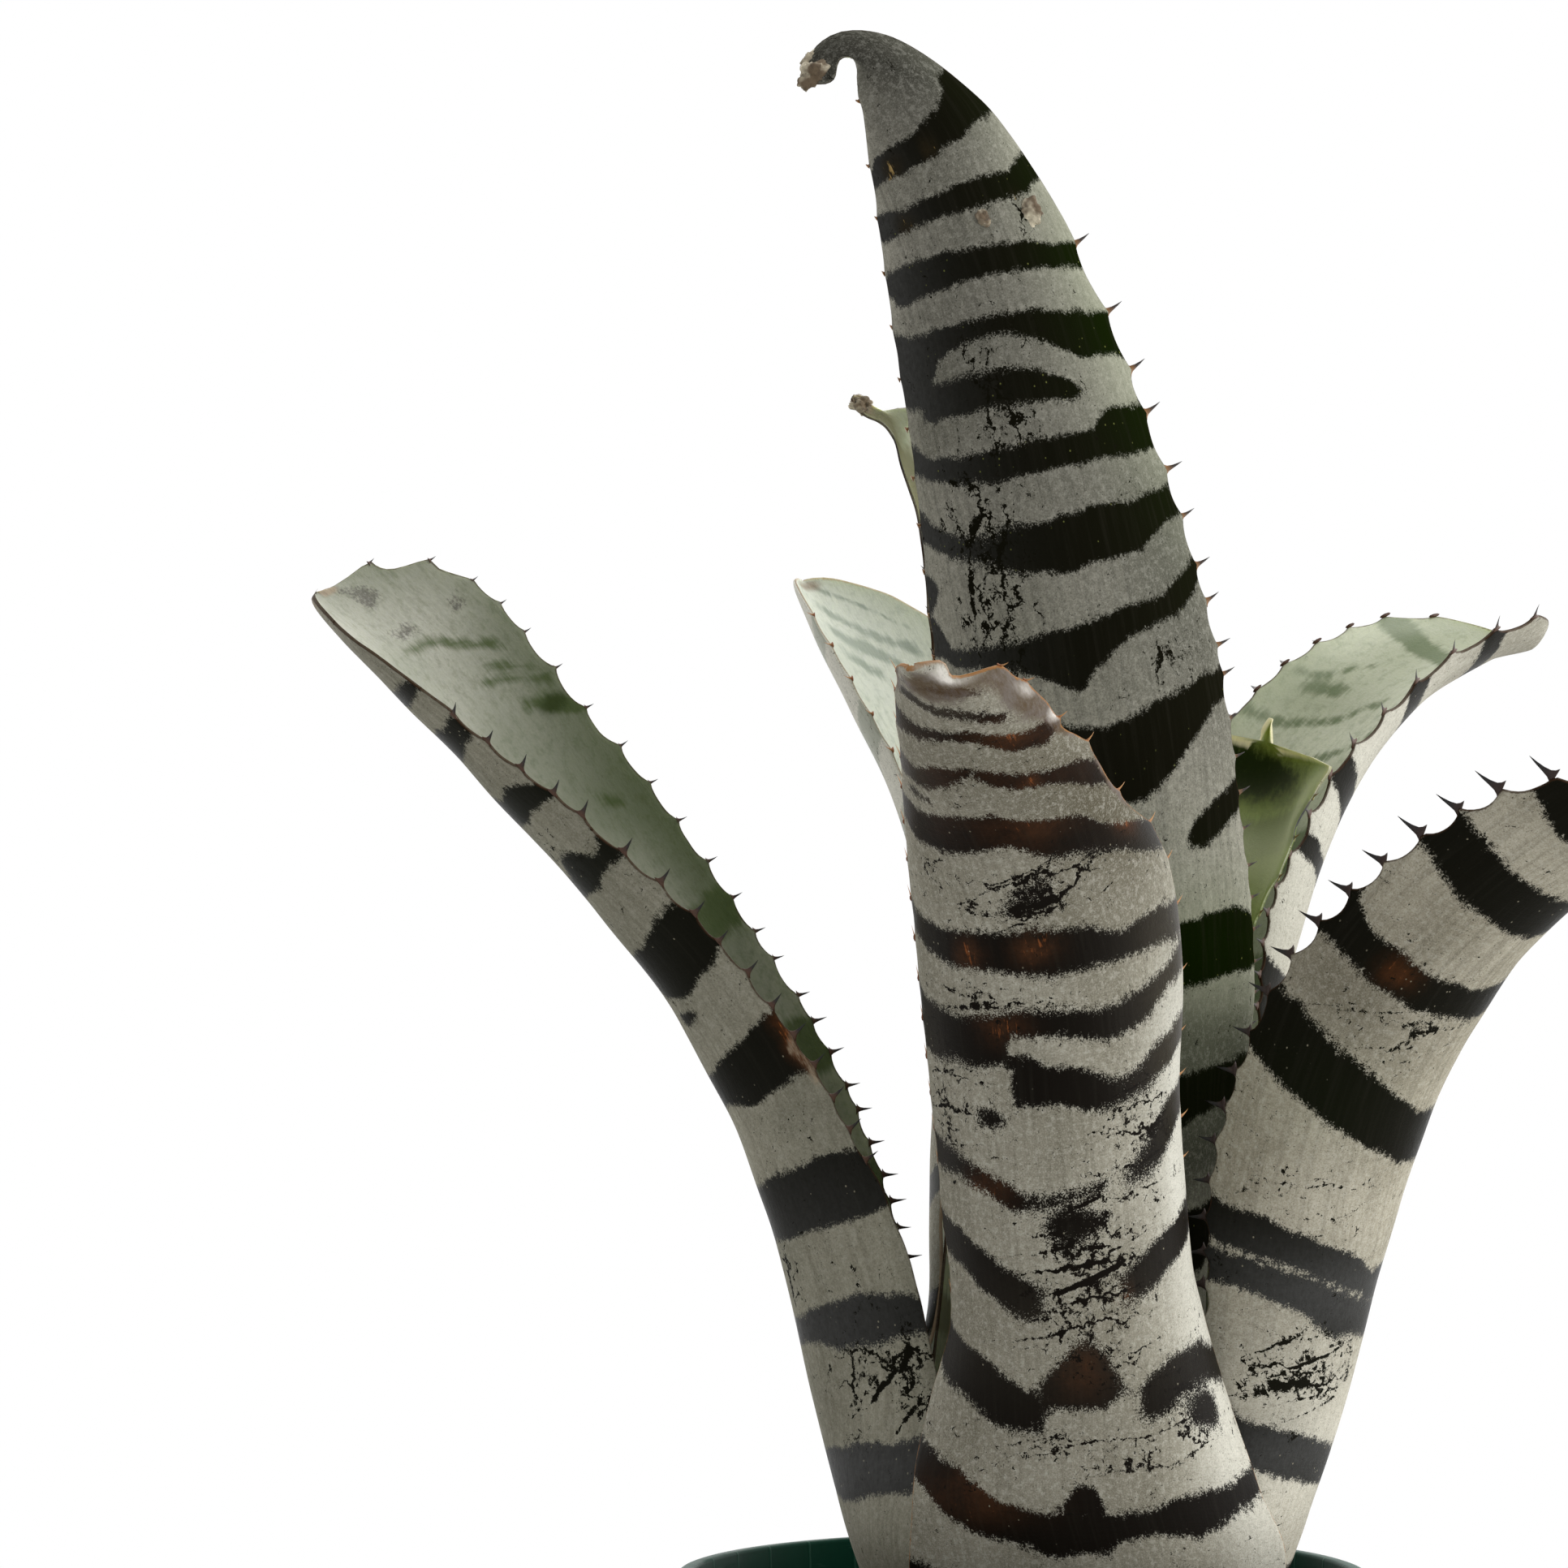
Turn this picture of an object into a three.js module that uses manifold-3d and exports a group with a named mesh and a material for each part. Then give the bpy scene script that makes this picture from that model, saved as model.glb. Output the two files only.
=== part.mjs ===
// A zebra bromeliad in a green nursery pot, in millimetres, with +Z up.
// The origin is the middle of the pot's underside, and the plant is seen from -Y.
import * as THREE from "three";
import { mergeVertices } from "three/addons/utils/BufferGeometryUtils.js";
import Module from "manifold-3d";

const wasm = await Module();
wasm.setup();

// The pot, a thin plastic cone with a deeper collar round its mouth.
const pot = {
  height: 140,
  rimRadius: 80,
  collarRadius: 77.5,
  neckRadius: 74,
  baseRadius: 54,
  collarDepth: 24,
  lip: 3,
  wall: 1.8,
  floor: 2.5,
  drainCount: 8,
  drainRadius: 5,
  drainCircle: 38,
  sides: 48,
};

// The bark mix stops below the rim, and has a plain hole that the crown stands in.
const mix = {
  top: 119,
  gap: 0.3,
  holeFloor: 92,
  holeFloorRadius: 25,
  holeTopRadius: 44.5,
  roughness: 1.3,
  seed: 7,
};

// The short stem that every leaf grows from. Leaves sit on it in steps, the outer ones lowest.
const stem = {
  x: 12,
  y: 0,
  foot: 92.3,
  lowest: 96,
  radius: 21.5,
  rise: 3.5,
  narrows: 2.2,
  steps: 7,
};

// The leaf sheaths nest round the stem like cups. Each row gives a height above the leaf's own foot,
// the radius of the outermost sheath there, and how much less that is for every step up the stem.
const sheath = {
  rows: [
    [0, 22.6, 2.2],
    [14, 36, 2.4],
    [30, 47, 3],
    [50, 56, 4],
  ],
  footCurl: 140,
  levelUpTo: 150,
  squareFrom: 215,
};

const blade = {
  midThickness: 1.5,
  edgeThickness: 0.9,
  tipHalf: 1.3,
  stations: 16,
  tipStations: 5,
};

// Each leaf follows its midrib from the stem to the tip. A row of stations gives
//   x, y, z of the midrib, half the width of the flattened blade,
//   the degrees that its trough turns through, and its roll about the midrib.
// step is where it grows on the stem, facing is where its outer face looks, in degrees from +X,
// and wrap is how far its sheath reaches round the others. The spines start part of the way up,
// and get longer and wider spaced towards the tip, which they lean to.
const leaves = {
  leaf_front: {
    step: 0,
    facing: 276,
    wrap: 100,
    rows: 6,
    tipStart: 0.76,
    teeth: { from: 0.42, spacing: [7, 12], length: [2.6, 3.4], lean: 0.45 },
    stations: [
      [14, -60, 162, 44, 94, 0],
      [13, -63, 178, 46, 146, 0],
      [12, -68, 195, 41, 160, 0],
      [10, -72, 212, 39, 165, 0],
      [7, -80, 245, 40, 165, 0],
      [3, -90, 281, 42, 170, -2],
      [-6, -106, 308, 36, 158, -12],
      [-16, -123, 326, 24, 124, -25],
      [-22, -138, 339, 21, 104, -34],
      [-29, -150, 347, 15, 92, -38],
    ],
  },
  leaf_back: {
    step: 0,
    facing: 88,
    wrap: 100,
    rows: 6,
    tipStart: 0.84,
    teeth: { from: 0.35, spacing: [6, 12], length: [2.6, 3.8], lean: 0.35 },
    stations: [
      [12, 68, 180, 42, 148, 0],
      [12, 83, 215, 41, 158, 0],
      [11, 102, 252, 41, 156, 0],
      [9, 126, 284, 40, 145, 0],
      [5, 152, 306, 36, 125, 0],
      [1, 180, 316, 28, 110, 0],
    ],
  },
  leaf_left: {
    step: 1,
    facing: 176,
    wrap: 120,
    rows: 6,
    tipStart: 0.86,
    teeth: { from: 0.3, spacing: [4.5, 12.5], length: [2.4, 3.6], lean: 0.35 },
    stations: [
      [-48, 6, 180, 44, 168, 8],
      [-55, 7, 210, 43, 190, 4],
      [-66, 7, 243, 40, 178, 0],
      [-83, 7, 274, 38, 158, -3],
      [-104, 8, 302, 37, 142, -11],
      [-123, 9, 324, 35, 136, -18],
      [-142, 10, 347, 35, 106, -23],
      [-153, 11, 358, 33, 92, -24],
      [-165, 11, 367, 26, 80, -24],
    ],
  },
  leaf_right: {
    step: 1,
    facing: 342,
    wrap: 120,
    rows: 6,
    tipStart: 0.88,
    teeth: { from: 0.35, spacing: [7, 11], length: [4.5, 7.5], lean: 0 },
    stations: [
      [68, -10, 165, 40, 148, 0],
      [73, -13, 182, 42, 165, 0],
      [78, -21, 208, 45, 180, -8],
      [84, -33, 237, 48, 188, -18],
      [93, -49, 265, 46, 176, -25],
      [108, -67, 288, 42, 154, -26],
      [130, -87, 307, 38, 133, -26],
      [152, -106, 318, 30, 116, -25],
    ],
  },
  leaf_back_left: {
    step: 2,
    facing: 138,
    wrap: 112,
    rows: 6,
    tipStart: 0.86,
    teeth: { from: 0.45, spacing: [7, 12], length: [2.4, 3.4], lean: 0.35 },
    stations: [
      [-14, 46, 185, 34, 128, 0],
      [-12, 57, 213, 34, 130, 0],
      [-12, 69, 260, 34, 135, 0],
      [-17, 80, 305, 35, 135, 0],
      [-32, 93, 342, 34, 115, 0],
      [-51, 107, 373, 28, 100, 0],
    ],
  },
  leaf_back_right: {
    step: 3,
    facing: 45,
    wrap: 130,
    rows: 6,
    tipStart: 0.88,
    teeth: { from: 0.4, spacing: [6.5, 12], length: [2.6, 3.8], lean: 0.35 },
    stations: [
      [42, 33, 195, 36, 150, 0],
      [48, 42, 235, 37, 160, 0],
      [58, 55, 278, 36, 165, 0],
      [71, 70, 313, 33, 150, 0],
      [90, 87, 338, 31, 130, 0],
      [112, 106, 352, 28, 112, 0],
      [131, 123, 357, 24, 105, 0],
    ],
  },
  leaf_tall: {
    step: 4,
    facing: 282,
    wrap: 150,
    rows: 6,
    tipStart: 0.95,
    teeth: { from: 0.34, spacing: [6, 16], length: [2.2, 4.4], lean: 0.2 },
    stations: [
      [20, -30, 200, 41, 170, 0],
      [20, -30, 250, 44, 165, -4],
      [18, -30, 300, 45, 150, -10],
      [11, -29, 352, 43, 145, -15],
      [1, -27, 400, 37, 145, -15],
      [-10, -24, 440, 30, 145, -15],
      [-21, -21, 468, 22, 145, -15],
      [-32, -17, 484, 14, 130, -15],
      [-42, -14, 490, 8, 110, -15],
      [-50, -12, 485, 5, 90, -15],
    ],
  },
  leaf_upright_back: {
    step: 5,
    facing: 100,
    wrap: 130,
    rows: 6,
    tipStart: 0.92,
    teeth: { from: 0.42, spacing: [7, 13], length: [2.2, 3.2], lean: 0.3 },
    stations: [
      [4, 36, 225, 30, 130, 0],
      [2, 40, 280, 30, 130, 0],
      [0, 42, 330, 27, 130, 0],
      [-7, 43, 368, 21, 130, 0],
      [-17, 42, 393, 12, 120, 0],
      [-29, 41, 409, 7, 110, 0],
      [-39, 40, 415, 5, 100, 0],
    ],
  },
  leaf_young: {
    step: 6,
    facing: 75,
    wrap: 130,
    rows: 6,
    tipStart: 0.93,
    teeth: { from: 0.5, spacing: [7, 11], length: [1.6, 2.4], lean: 0.3 },
    stations: [
      [26, 20, 200, 21, 140, 0],
      [34, 22, 245, 22, 130, 0],
      [45, 23, 288, 23, 120, 0],
      [54, 24, 317, 24, 112, 0],
      [60, 25, 338, 22, 105, 0],
    ],
  },
};

const colours = {
  pot: 0x0f3a2a,
  mix: 0x3a2a1e,
  stem: 0x8a7f62,
  silverLeaf: 0x8f9186,
  youngLeaf: 0x5d7a22,
};

const radians = THREE.MathUtils.degToRad;

// Catmull-Rom through evenly spaced values.
function along(values, u) {
  const last = values.length - 1;
  const x = THREE.MathUtils.clamp(u, 0, 1) * last;
  const i = Math.min(Math.floor(x), last - 1);
  const f = x - i;
  const b = values[i];
  const c = values[i + 1];
  const a = i > 0 ? values[i - 1] : 2 * b - c;
  const d = i + 2 <= last ? values[i + 2] : 2 * c - b;
  return b + (f / 2) * (c - a + f * (2 * a - 5 * b + 4 * c - d + f * (3 * (b - c) + d - a)));
}

// The stations of a leaf's sheath, from its foot on the stem to the top of the tank.
function sheathStations(leaf) {
  const turn = radians(leaf.facing);
  const [top] = sheath.rows[sheath.rows.length - 1];
  return sheath.rows.map(([height, outermost, less]) => {
    const reach = outermost - less * leaf.step;
    const curl = THREE.MathUtils.lerp(sheath.footCurl, leaf.wrap, height / top);
    return [
      stem.x + reach * Math.cos(turn),
      stem.y + reach * Math.sin(turn),
      stem.lowest + stem.rise * leaf.step + height,
      reach * radians(curl / 2),
      curl,
      0,
    ];
  });
}

// A leaf's midrib with a frame carried along it: tangent, side and the normal of its inner face.
class Midrib {
  constructor(leaf) {
    const stations = [...sheathStations(leaf), ...leaf.stations];
    this.columns = stations[0].map((_, k) => stations.map((row) => row[k]));
    this.tipStart = leaf.tipStart;
    this.samples = [];
    const steps = 240;
    const turn = radians(leaf.facing);
    let inner = new THREE.Vector3(-Math.cos(turn), -Math.sin(turn), 0);
    let length = 0;
    for (let i = 0; i <= steps; i++) {
      const u = i / steps;
      const at = this.point(u);
      const step = 0.5 / steps;
      const tangent = this.point(u + step).sub(this.point(u - step)).normalize();
      inner = inner.clone().addScaledVector(tangent, -inner.dot(tangent)).normalize();
      if (i > 0) length += at.distanceTo(this.samples[i - 1].at);
      this.samples.push({ at, tangent, inner, length });
    }
    this.length = length;
  }

  value(column, u) {
    return along(this.columns[column], u);
  }

  point(u) {
    const end = THREE.MathUtils.clamp(u, 0, 1);
    return new THREE.Vector3(this.value(0, end), this.value(1, end), this.value(2, end));
  }

  // Half the width, rounded off towards the tip.
  half(u) {
    const past = Math.max(0, (u - this.tipStart) / (1 - this.tipStart));
    return Math.max(this.value(3, u) * Math.sqrt(Math.max(0, 1 - past * past)), blade.tipHalf);
  }

  frame(u) {
    const x = THREE.MathUtils.clamp(u, 0, 1) * (this.samples.length - 1);
    const i = Math.min(Math.floor(x), this.samples.length - 2);
    const [a, b] = [this.samples[i], this.samples[i + 1]];
    const at = a.at.clone().lerp(b.at, x - i);
    const square = THREE.MathUtils.smoothstep(at.z, sheath.levelUpTo, sheath.squareFrom);
    const sloping = a.tangent.clone().lerp(b.tangent, x - i).normalize();
    const tangent = new THREE.Vector3(0, 0, 1).lerp(sloping, square).normalize();
    const inner = a.inner.clone().lerp(b.inner, x - i);
    inner.applyAxisAngle(tangent, radians(this.value(5, u)));
    const side = new THREE.Vector3().crossVectors(inner, tangent).normalize();
    inner.crossVectors(tangent, side);
    return { at, tangent, inner, side };
  }

  // The point t of the way from the midrib (0) to a margin (-1 or 1), lifted off the middle of the blade.
  surface(u, t, lift) {
    const { at, inner, side } = this.frame(u);
    const bend = radians(this.value(4, u)) / 2;
    const radius = this.half(u) / bend;
    const angle = t * bend;
    return at
      .addScaledVector(side, (radius - lift) * Math.sin(angle))
      .addScaledVector(inner, radius - (radius - lift) * Math.cos(angle));
  }

  // Where u is at a given distance from the stem.
  atDistance(distance) {
    const i = this.samples.findIndex((s) => s.length >= distance);
    const [a, b] = [this.samples[i - 1], this.samples[i]];
    const share = (distance - a.length) / (b.length - a.length);
    return (i - 1 + share) / (this.samples.length - 1);
  }
}

// The places of the spines along a margin, staggered from one side to the other.
function spinePlaces(leaf, midrib, side) {
  const { from, spacing } = leaf.teeth;
  const [near, far] = spacing;
  const places = [];
  let d = midrib.length * from + (side > 0 ? near / 2 : 0);
  while (d < midrib.length - far / 2) {
    places.push(midrib.atDistance(d));
    d += THREE.MathUtils.mapLinear(d, midrib.length * from, midrib.length, near, far);
  }
  return places;
}

// A trough-shaped blade as one closed skin, with a spine raised out of its edge at each place.
function leafGeometry(leaf) {
  const midrib = new Midrib(leaf);
  const points = [];
  const triangles = [];
  const add = (point) => points.push(point) - 1;
  const face = (a, b, c) => triangles.push(a, b, c);
  const quad = (a, b, c, d) => {
    face(a, b, c);
    face(a, c, d);
  };

  const inside = [];
  for (let i = 0; i < blade.stations; i++) inside.push((leaf.tipStart * i) / blade.stations);
  for (let i = 0; i <= blade.tipStations; i++) {
    const turn = (i / blade.tipStations) * (Math.PI / 2);
    inside.push(leaf.tipStart + (1 - leaf.tipStart) * Math.sin(turn));
  }

  const spines = {};
  const halfBase = 1.5 / midrib.length;
  const edgeStations = (side) => {
    const places = spinePlaces(leaf, midrib, side);
    spines[side] = places;
    const fromSheath = inside.filter((u) => u < places[0] - 2 * halfBase);
    const toTip = inside.filter((u) => u > places[places.length - 1] + 2 * halfBase);
    return [...fromSheath, ...places.flatMap((u) => [u - halfBase, u + halfBase]), ...toTip];
  };

  // Rows of points from one margin to the other, on the outer and the inner face.
  const rows = [];
  for (let j = 0; j <= leaf.rows; j++) {
    const t = (2 * j) / leaf.rows - 1;
    const stations = Math.abs(t) === 1 ? edgeStations(t) : inside;
    const thick = THREE.MathUtils.lerp(blade.midThickness, blade.edgeThickness, t * t);
    rows.push(
      stations.map((u) => ({
        u,
        outer: add(midrib.surface(u, t, -thick / 2)),
        inner: add(midrib.surface(u, t, thick / 2)),
      })),
    );
  }

  // Neighbouring rows are sewn together by whichever has the nearer next point, alike on both faces.
  for (let j = 0; j < leaf.rows; j++) {
    const [left, right] = [rows[j], rows[j + 1]];
    let [a, b] = [0, 0];
    while (a < left.length - 1 || b < right.length - 1) {
      const [p, q] = [left[a], right[b]];
      const goLeft = b === right.length - 1 || (a < left.length - 1 && left[a + 1].u <= right[b + 1].u);
      const next = goLeft ? left[++a] : right[++b];
      face(p.outer, q.outer, next.outer);
      face(q.inner, p.inner, next.inner);
    }
    const [last, lastNext] = [left[left.length - 1], right[right.length - 1]];
    quad(left[0].outer, left[0].inner, right[0].inner, right[0].outer);
    quad(last.outer, lastNext.outer, lastNext.inner, last.inner);
  }

  // The margins, with each spine a slim pyramid that leans towards the tip.
  for (const side of [-1, 1]) {
    const row = side < 0 ? rows[0] : rows[leaf.rows];
    for (let i = 0; i < row.length - 1; i++) {
      const [p, q] = [row[i], row[i + 1]];
      const ring = side < 0 ? [p.outer, q.outer, q.inner, p.inner] : [p.inner, q.inner, q.outer, p.outer];
      const spine = spines[side].find((u) => u > p.u && u < q.u && q.u - p.u < 2.5 * halfBase);
      if (spine === undefined) {
        quad(...ring);
        continue;
      }
      const apex = add(spineApex(leaf, midrib, side, spine));
      ring.forEach((corner, k) => face(corner, ring[(k + 1) % ring.length], apex));
    }
  }

  const positions = points.flatMap((p) => p.toArray());
  const geometry = new THREE.BufferGeometry();
  geometry.setAttribute("position", new THREE.Float32BufferAttribute(positions, 3));
  geometry.setIndex(triangles);
  return geometry;
}

function spineApex(leaf, midrib, side, u) {
  const { tangent, inner, side: across } = midrib.frame(u);
  const bend = radians(midrib.value(4, u)) / 2;
  const [near, far] = leaf.teeth.length;
  const length = THREE.MathUtils.mapLinear(u, leaf.teeth.from, 1, near, far);
  return midrib
    .surface(u, side, 0)
    .addScaledVector(across, side * length * Math.cos(bend))
    .addScaledVector(inner, length * Math.sin(bend))
    .addScaledVector(tangent, length * leaf.teeth.lean);
}

function solidOf(geometry) {
  const bare = geometry.clone();
  bare.deleteAttribute("normal");
  bare.deleteAttribute("uv");
  const merged = mergeVertices(bare, 1e-3);
  return new wasm.Manifold(
    new wasm.Mesh({
      numProp: 3,
      vertProperties: merged.attributes.position.array,
      triVerts: new Uint32Array(merged.index.array),
    }),
  );
}

function geometryOf(solid) {
  const mesh = solid.getMesh();
  const geometry = new THREE.BufferGeometry();
  geometry.setAttribute("position", new THREE.BufferAttribute(mesh.vertProperties, 3));
  geometry.setIndex(new THREE.BufferAttribute(mesh.triVerts, 1));
  return geometry;
}

// A profile of [radius, height] pairs spun round the Z axis.
function spun(profile, sides) {
  const points = profile.map(([radius, height]) => new THREE.Vector2(radius, height));
  return new THREE.LatheGeometry(points, sides).rotateX(Math.PI / 2);
}

function potGeometry() {
  const { height, rimRadius, collarRadius, neckRadius, baseRadius, collarDepth, lip, wall, floor } = pot;
  const collarFoot = height - collarDepth;
  const shell = spun(
    [
      [0, 0],
      [baseRadius, 0],
      [neckRadius, collarFoot],
      [collarRadius, collarFoot + 1.5],
      [collarRadius + 0.8, height - lip - 1],
      [rimRadius, height - lip],
      [rimRadius, height],
      [collarRadius + 0.8 - wall, height],
      [neckRadius + 1.5 - wall, collarFoot + 1.5],
      [baseRadius + 1 - wall, floor],
      [0, floor],
    ],
    pot.sides,
  );
  let solid = solidOf(shell);
  for (let i = 0; i < pot.drainCount; i++) {
    const turn = ((i + 0.5) / pot.drainCount) * 2 * Math.PI;
    const hole = new THREE.CylinderGeometry(pot.drainRadius, pot.drainRadius, 4 * floor, 12);
    hole.rotateX(Math.PI / 2);
    hole.translate(pot.drainCircle * Math.cos(turn), pot.drainCircle * Math.sin(turn), floor / 2);
    solid = solid.subtract(solidOf(hole));
  }
  return geometryOf(solid);
}

// A repeatable random number from 0 to 1.
function seeded(seed) {
  let state = seed;
  return () => {
    state = (state * 16807) % 2147483647;
    return state / 2147483647;
  };
}

// The radius of the pot's inner wall at a height.
function potInside(z) {
  const foot = pot.height - pot.collarDepth + 1.5;
  const share = (z - pot.floor) / (foot - pot.floor);
  const low = pot.baseRadius + 1 - pot.wall;
  const high = pot.neckRadius + 1.5 - pot.wall;
  return THREE.MathUtils.lerp(low, high, Math.min(share, 1));
}

// The bark mix fills the pot, with a lumpy top and a plain sloping hole for the crown.
function mixGeometry() {
  const { top, gap, holeFloor, holeFloorRadius, holeTopRadius, roughness } = mix;
  const bottom = pot.floor + gap;
  const edge = potInside(top - 2) - gap - 0.2;
  const ring = (share) => THREE.MathUtils.lerp(holeTopRadius, edge, share);
  const profile = [
    [0, bottom],
    [potInside(bottom) - gap - 0.4, bottom],
    [edge, top - 2],
    [ring(0.8), top],
    [ring(0.5), top],
    [ring(0.22), top],
    [holeTopRadius, top - 1],
    [holeFloorRadius, holeFloor],
    [0, holeFloor],
  ];
  const geometry = spun(profile, 40);
  const random = seeded(mix.seed);
  const position = geometry.attributes.position;
  const lumps = new Map();
  for (let i = 0; i < position.count; i++) {
    if (position.getZ(i) < top - 0.01) continue;
    const key = `${Math.round(position.getX(i) * 10) + 0} ${Math.round(position.getY(i) * 10) + 0}`;
    if (!lumps.has(key)) lumps.set(key, (random() - 0.5) * 2 * roughness);
    position.setZ(i, top + lumps.get(key));
  }
  // The hole is round the stem, which stands a little off the pot's middle.
  for (let i = 0; i < position.count; i++) {
    if (position.getZ(i) < bottom + 1) continue;
    const radius = Math.hypot(position.getX(i), position.getY(i));
    const share = THREE.MathUtils.clamp((edge - radius) / (edge - holeTopRadius), 0, 1);
    position.setX(i, position.getX(i) + stem.x * share);
    position.setY(i, position.getY(i) + stem.y * share);
  }
  return geometry;
}

// The stem is a plain cone inside all the leaves' feet, with a blunt top.
function stemGeometry() {
  const highest = stem.lowest + stem.rise * stem.steps;
  const narrowest = stem.radius - stem.narrows * stem.steps;
  const geometry = spun(
    [
      [0, stem.foot],
      [stem.radius - 3, stem.foot],
      [stem.radius, stem.lowest],
      [narrowest, highest],
      [narrowest * 0.5, highest + 2],
      [0, highest + 3],
    ],
    24,
  );
  return geometry.translate(stem.x, stem.y, 0);
}

function part(name, geometry, colour, roughness) {
  const mesh = new THREE.Mesh(
    geometry,
    new THREE.MeshStandardMaterial({ color: colour, roughness, metalness: 0 }),
  );
  mesh.name = name;
  return mesh;
}

const plant = new THREE.Group();
plant.name = "potted_zebra_plant";
plant.add(part("pot", potGeometry(), colours.pot, 0.45));
plant.add(part("bark_mix", mixGeometry(), colours.mix, 0.95));
plant.add(part("stem", stemGeometry(), colours.stem, 0.8));
for (const [name, leaf] of Object.entries(leaves)) {
  const colour = name === "leaf_young" ? colours.youngLeaf : colours.silverLeaf;
  plant.add(part(name, leafGeometry(leaf), colour, 0.7));
}

export default plant;
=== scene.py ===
import bisect
import math
import random

import bmesh
import bpy
from mathutils import Matrix, Vector, noise


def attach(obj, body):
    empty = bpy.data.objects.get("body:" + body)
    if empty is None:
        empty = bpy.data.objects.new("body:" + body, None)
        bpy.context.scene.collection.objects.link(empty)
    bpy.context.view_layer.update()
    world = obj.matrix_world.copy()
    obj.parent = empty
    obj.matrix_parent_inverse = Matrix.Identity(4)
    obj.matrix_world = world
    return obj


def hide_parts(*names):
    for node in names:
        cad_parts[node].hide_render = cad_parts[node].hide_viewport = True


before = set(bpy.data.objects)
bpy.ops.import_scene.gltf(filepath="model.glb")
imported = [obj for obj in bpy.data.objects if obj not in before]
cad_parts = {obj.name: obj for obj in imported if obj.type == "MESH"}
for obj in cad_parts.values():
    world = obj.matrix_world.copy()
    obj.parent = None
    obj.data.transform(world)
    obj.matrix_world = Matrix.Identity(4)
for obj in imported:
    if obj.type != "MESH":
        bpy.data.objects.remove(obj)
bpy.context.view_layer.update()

mm = 0.001  # the dictionaries below are in millimetres and degrees


def held(value, low=0.0, high=1.0):
    return min(max(value, low), high)


def ease(value, low, high):  # 0 below low, 1 above high, and a smooth step between
    share = held((value - low) / (high - low))
    return share * share * (3 - 2 * share)


def between(low, high, share):
    return low + (high - low) * share


def tint(red, green, blue):  # an 8-bit screen colour as a linear one
    def linear(part):
        part /= 255
        return part / 12.92 if part < 0.04045 else ((part + 0.055) / 1.055) ** 2.4

    return (linear(red), linear(green), linear(blue), 1.0)


# A socket that adds Math nodes where it is used in arithmetic.
class Wire:
    def __init__(self, board, socket):
        self.board = board
        self.socket = socket

    def reckon(self, operation, *values):
        return self.board.node("ShaderNodeMath", {"operation": operation}, dict(enumerate(values)))

    def __add__(self, other):
        return self.reckon("ADD", self, other)

    def __radd__(self, other):
        return self.reckon("ADD", other, self)

    def __sub__(self, other):
        return self.reckon("SUBTRACT", self, other)

    def __rsub__(self, other):
        return self.reckon("SUBTRACT", other, self)

    def __mul__(self, other):
        return self.reckon("MULTIPLY", self, other)

    def __rmul__(self, other):
        return self.reckon("MULTIPLY", other, self)

    def most(self, other):
        return self.reckon("MAXIMUM", self, other)

    def clamped(self):
        return self.board.node("ShaderNodeClamp", {}, {"Value": self})

    def rise(self, low, high):  # 0 below low, 1 above high, and a smooth step between
        settings = {"interpolation_type": "SMOOTHSTEP"}
        inputs = {"Value": self, "From Min": low, "From Max": high}
        return self.board.node("ShaderNodeMapRange", settings, inputs)


# The nodes of one material or of the world.
class Board:
    def __init__(self, tree):
        self.tree = tree

    def set(self, socket, value):
        if isinstance(value, Wire):
            self.tree.links.new(value.socket, socket)
        else:
            socket.default_value = value

    def node(self, kind, settings, inputs, output=0):
        made = self.tree.nodes.new(kind)
        for key, value in settings.items():
            setattr(made, key, value)
        for key, value in inputs.items():
            self.set(made.inputs[key], value)
        return Wire(self, made.outputs[output])

    def mixed(self, share, first, second, blend="MIX"):
        settings = {"data_type": "RGBA", "blend_type": blend}
        return self.node("ShaderNodeMix", settings, {0: share, 6: first, 7: second}, 2)

    def layered(self, colour, *layers):  # each layer is a share and the colour that it lays on top
        for share, over in layers:
            colour = self.mixed(share, colour, over)
        return colour

    def scaled(self, vector, factors, shift=(0, 0, 0)):
        settings = {"operation": "MULTIPLY_ADD"}
        return self.node("ShaderNodeVectorMath", settings, {0: vector, 1: factors, 2: shift})

    def split(self, vector):
        first = self.node("ShaderNodeSeparateXYZ", {}, {0: vector})
        return [Wire(self, socket) for socket in first.socket.node.outputs]

    def parts(self, attribute):  # the three numbers that a vertex carries
        return self.split(self.node("ShaderNodeAttribute", {"attribute_name": attribute}, {}, 1))

    def place(self):  # on the object, in metres
        return self.node("ShaderNodeTexCoord", {}, {}, 3)

    def noise(self, vector, detail=2.0, roughness=0.5, distortion=0.0):
        inputs = {
            "Vector": vector,
            "Scale": 1.0,
            "Detail": detail,
            "Roughness": roughness,
            "Distortion": distortion,
        }
        return self.node("ShaderNodeTexNoise", {}, inputs)

    def grainy(self, factors, *settings):  # noise with so many grains to the metre
        return self.noise(self.scaled(self.place(), factors), *settings)

    def cells(self, vector, feature="F1", output=0):
        inputs = {"Vector": vector, "Scale": 1.0}
        return self.node("ShaderNodeTexVoronoi", {"feature": feature}, inputs, output)


class Finish(Board):
    def __init__(self, name):
        self.material = bpy.data.materials.new(name)
        self.material.use_nodes = True
        super().__init__(self.material.node_tree)
        self.shader = self.tree.nodes["Principled BSDF"]

    def shade(self, **inputs):
        for key, value in inputs.items():
            self.set(self.shader.inputs[key.replace("_", " ")], value)

    def bump(self, height, strength, distance):
        inputs = {"Height": height, "Strength": strength, "Distance": distance}
        self.shade(Normal=self.node("ShaderNodeBump", {}, inputs))


print("stage: leaf finishes")

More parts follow.
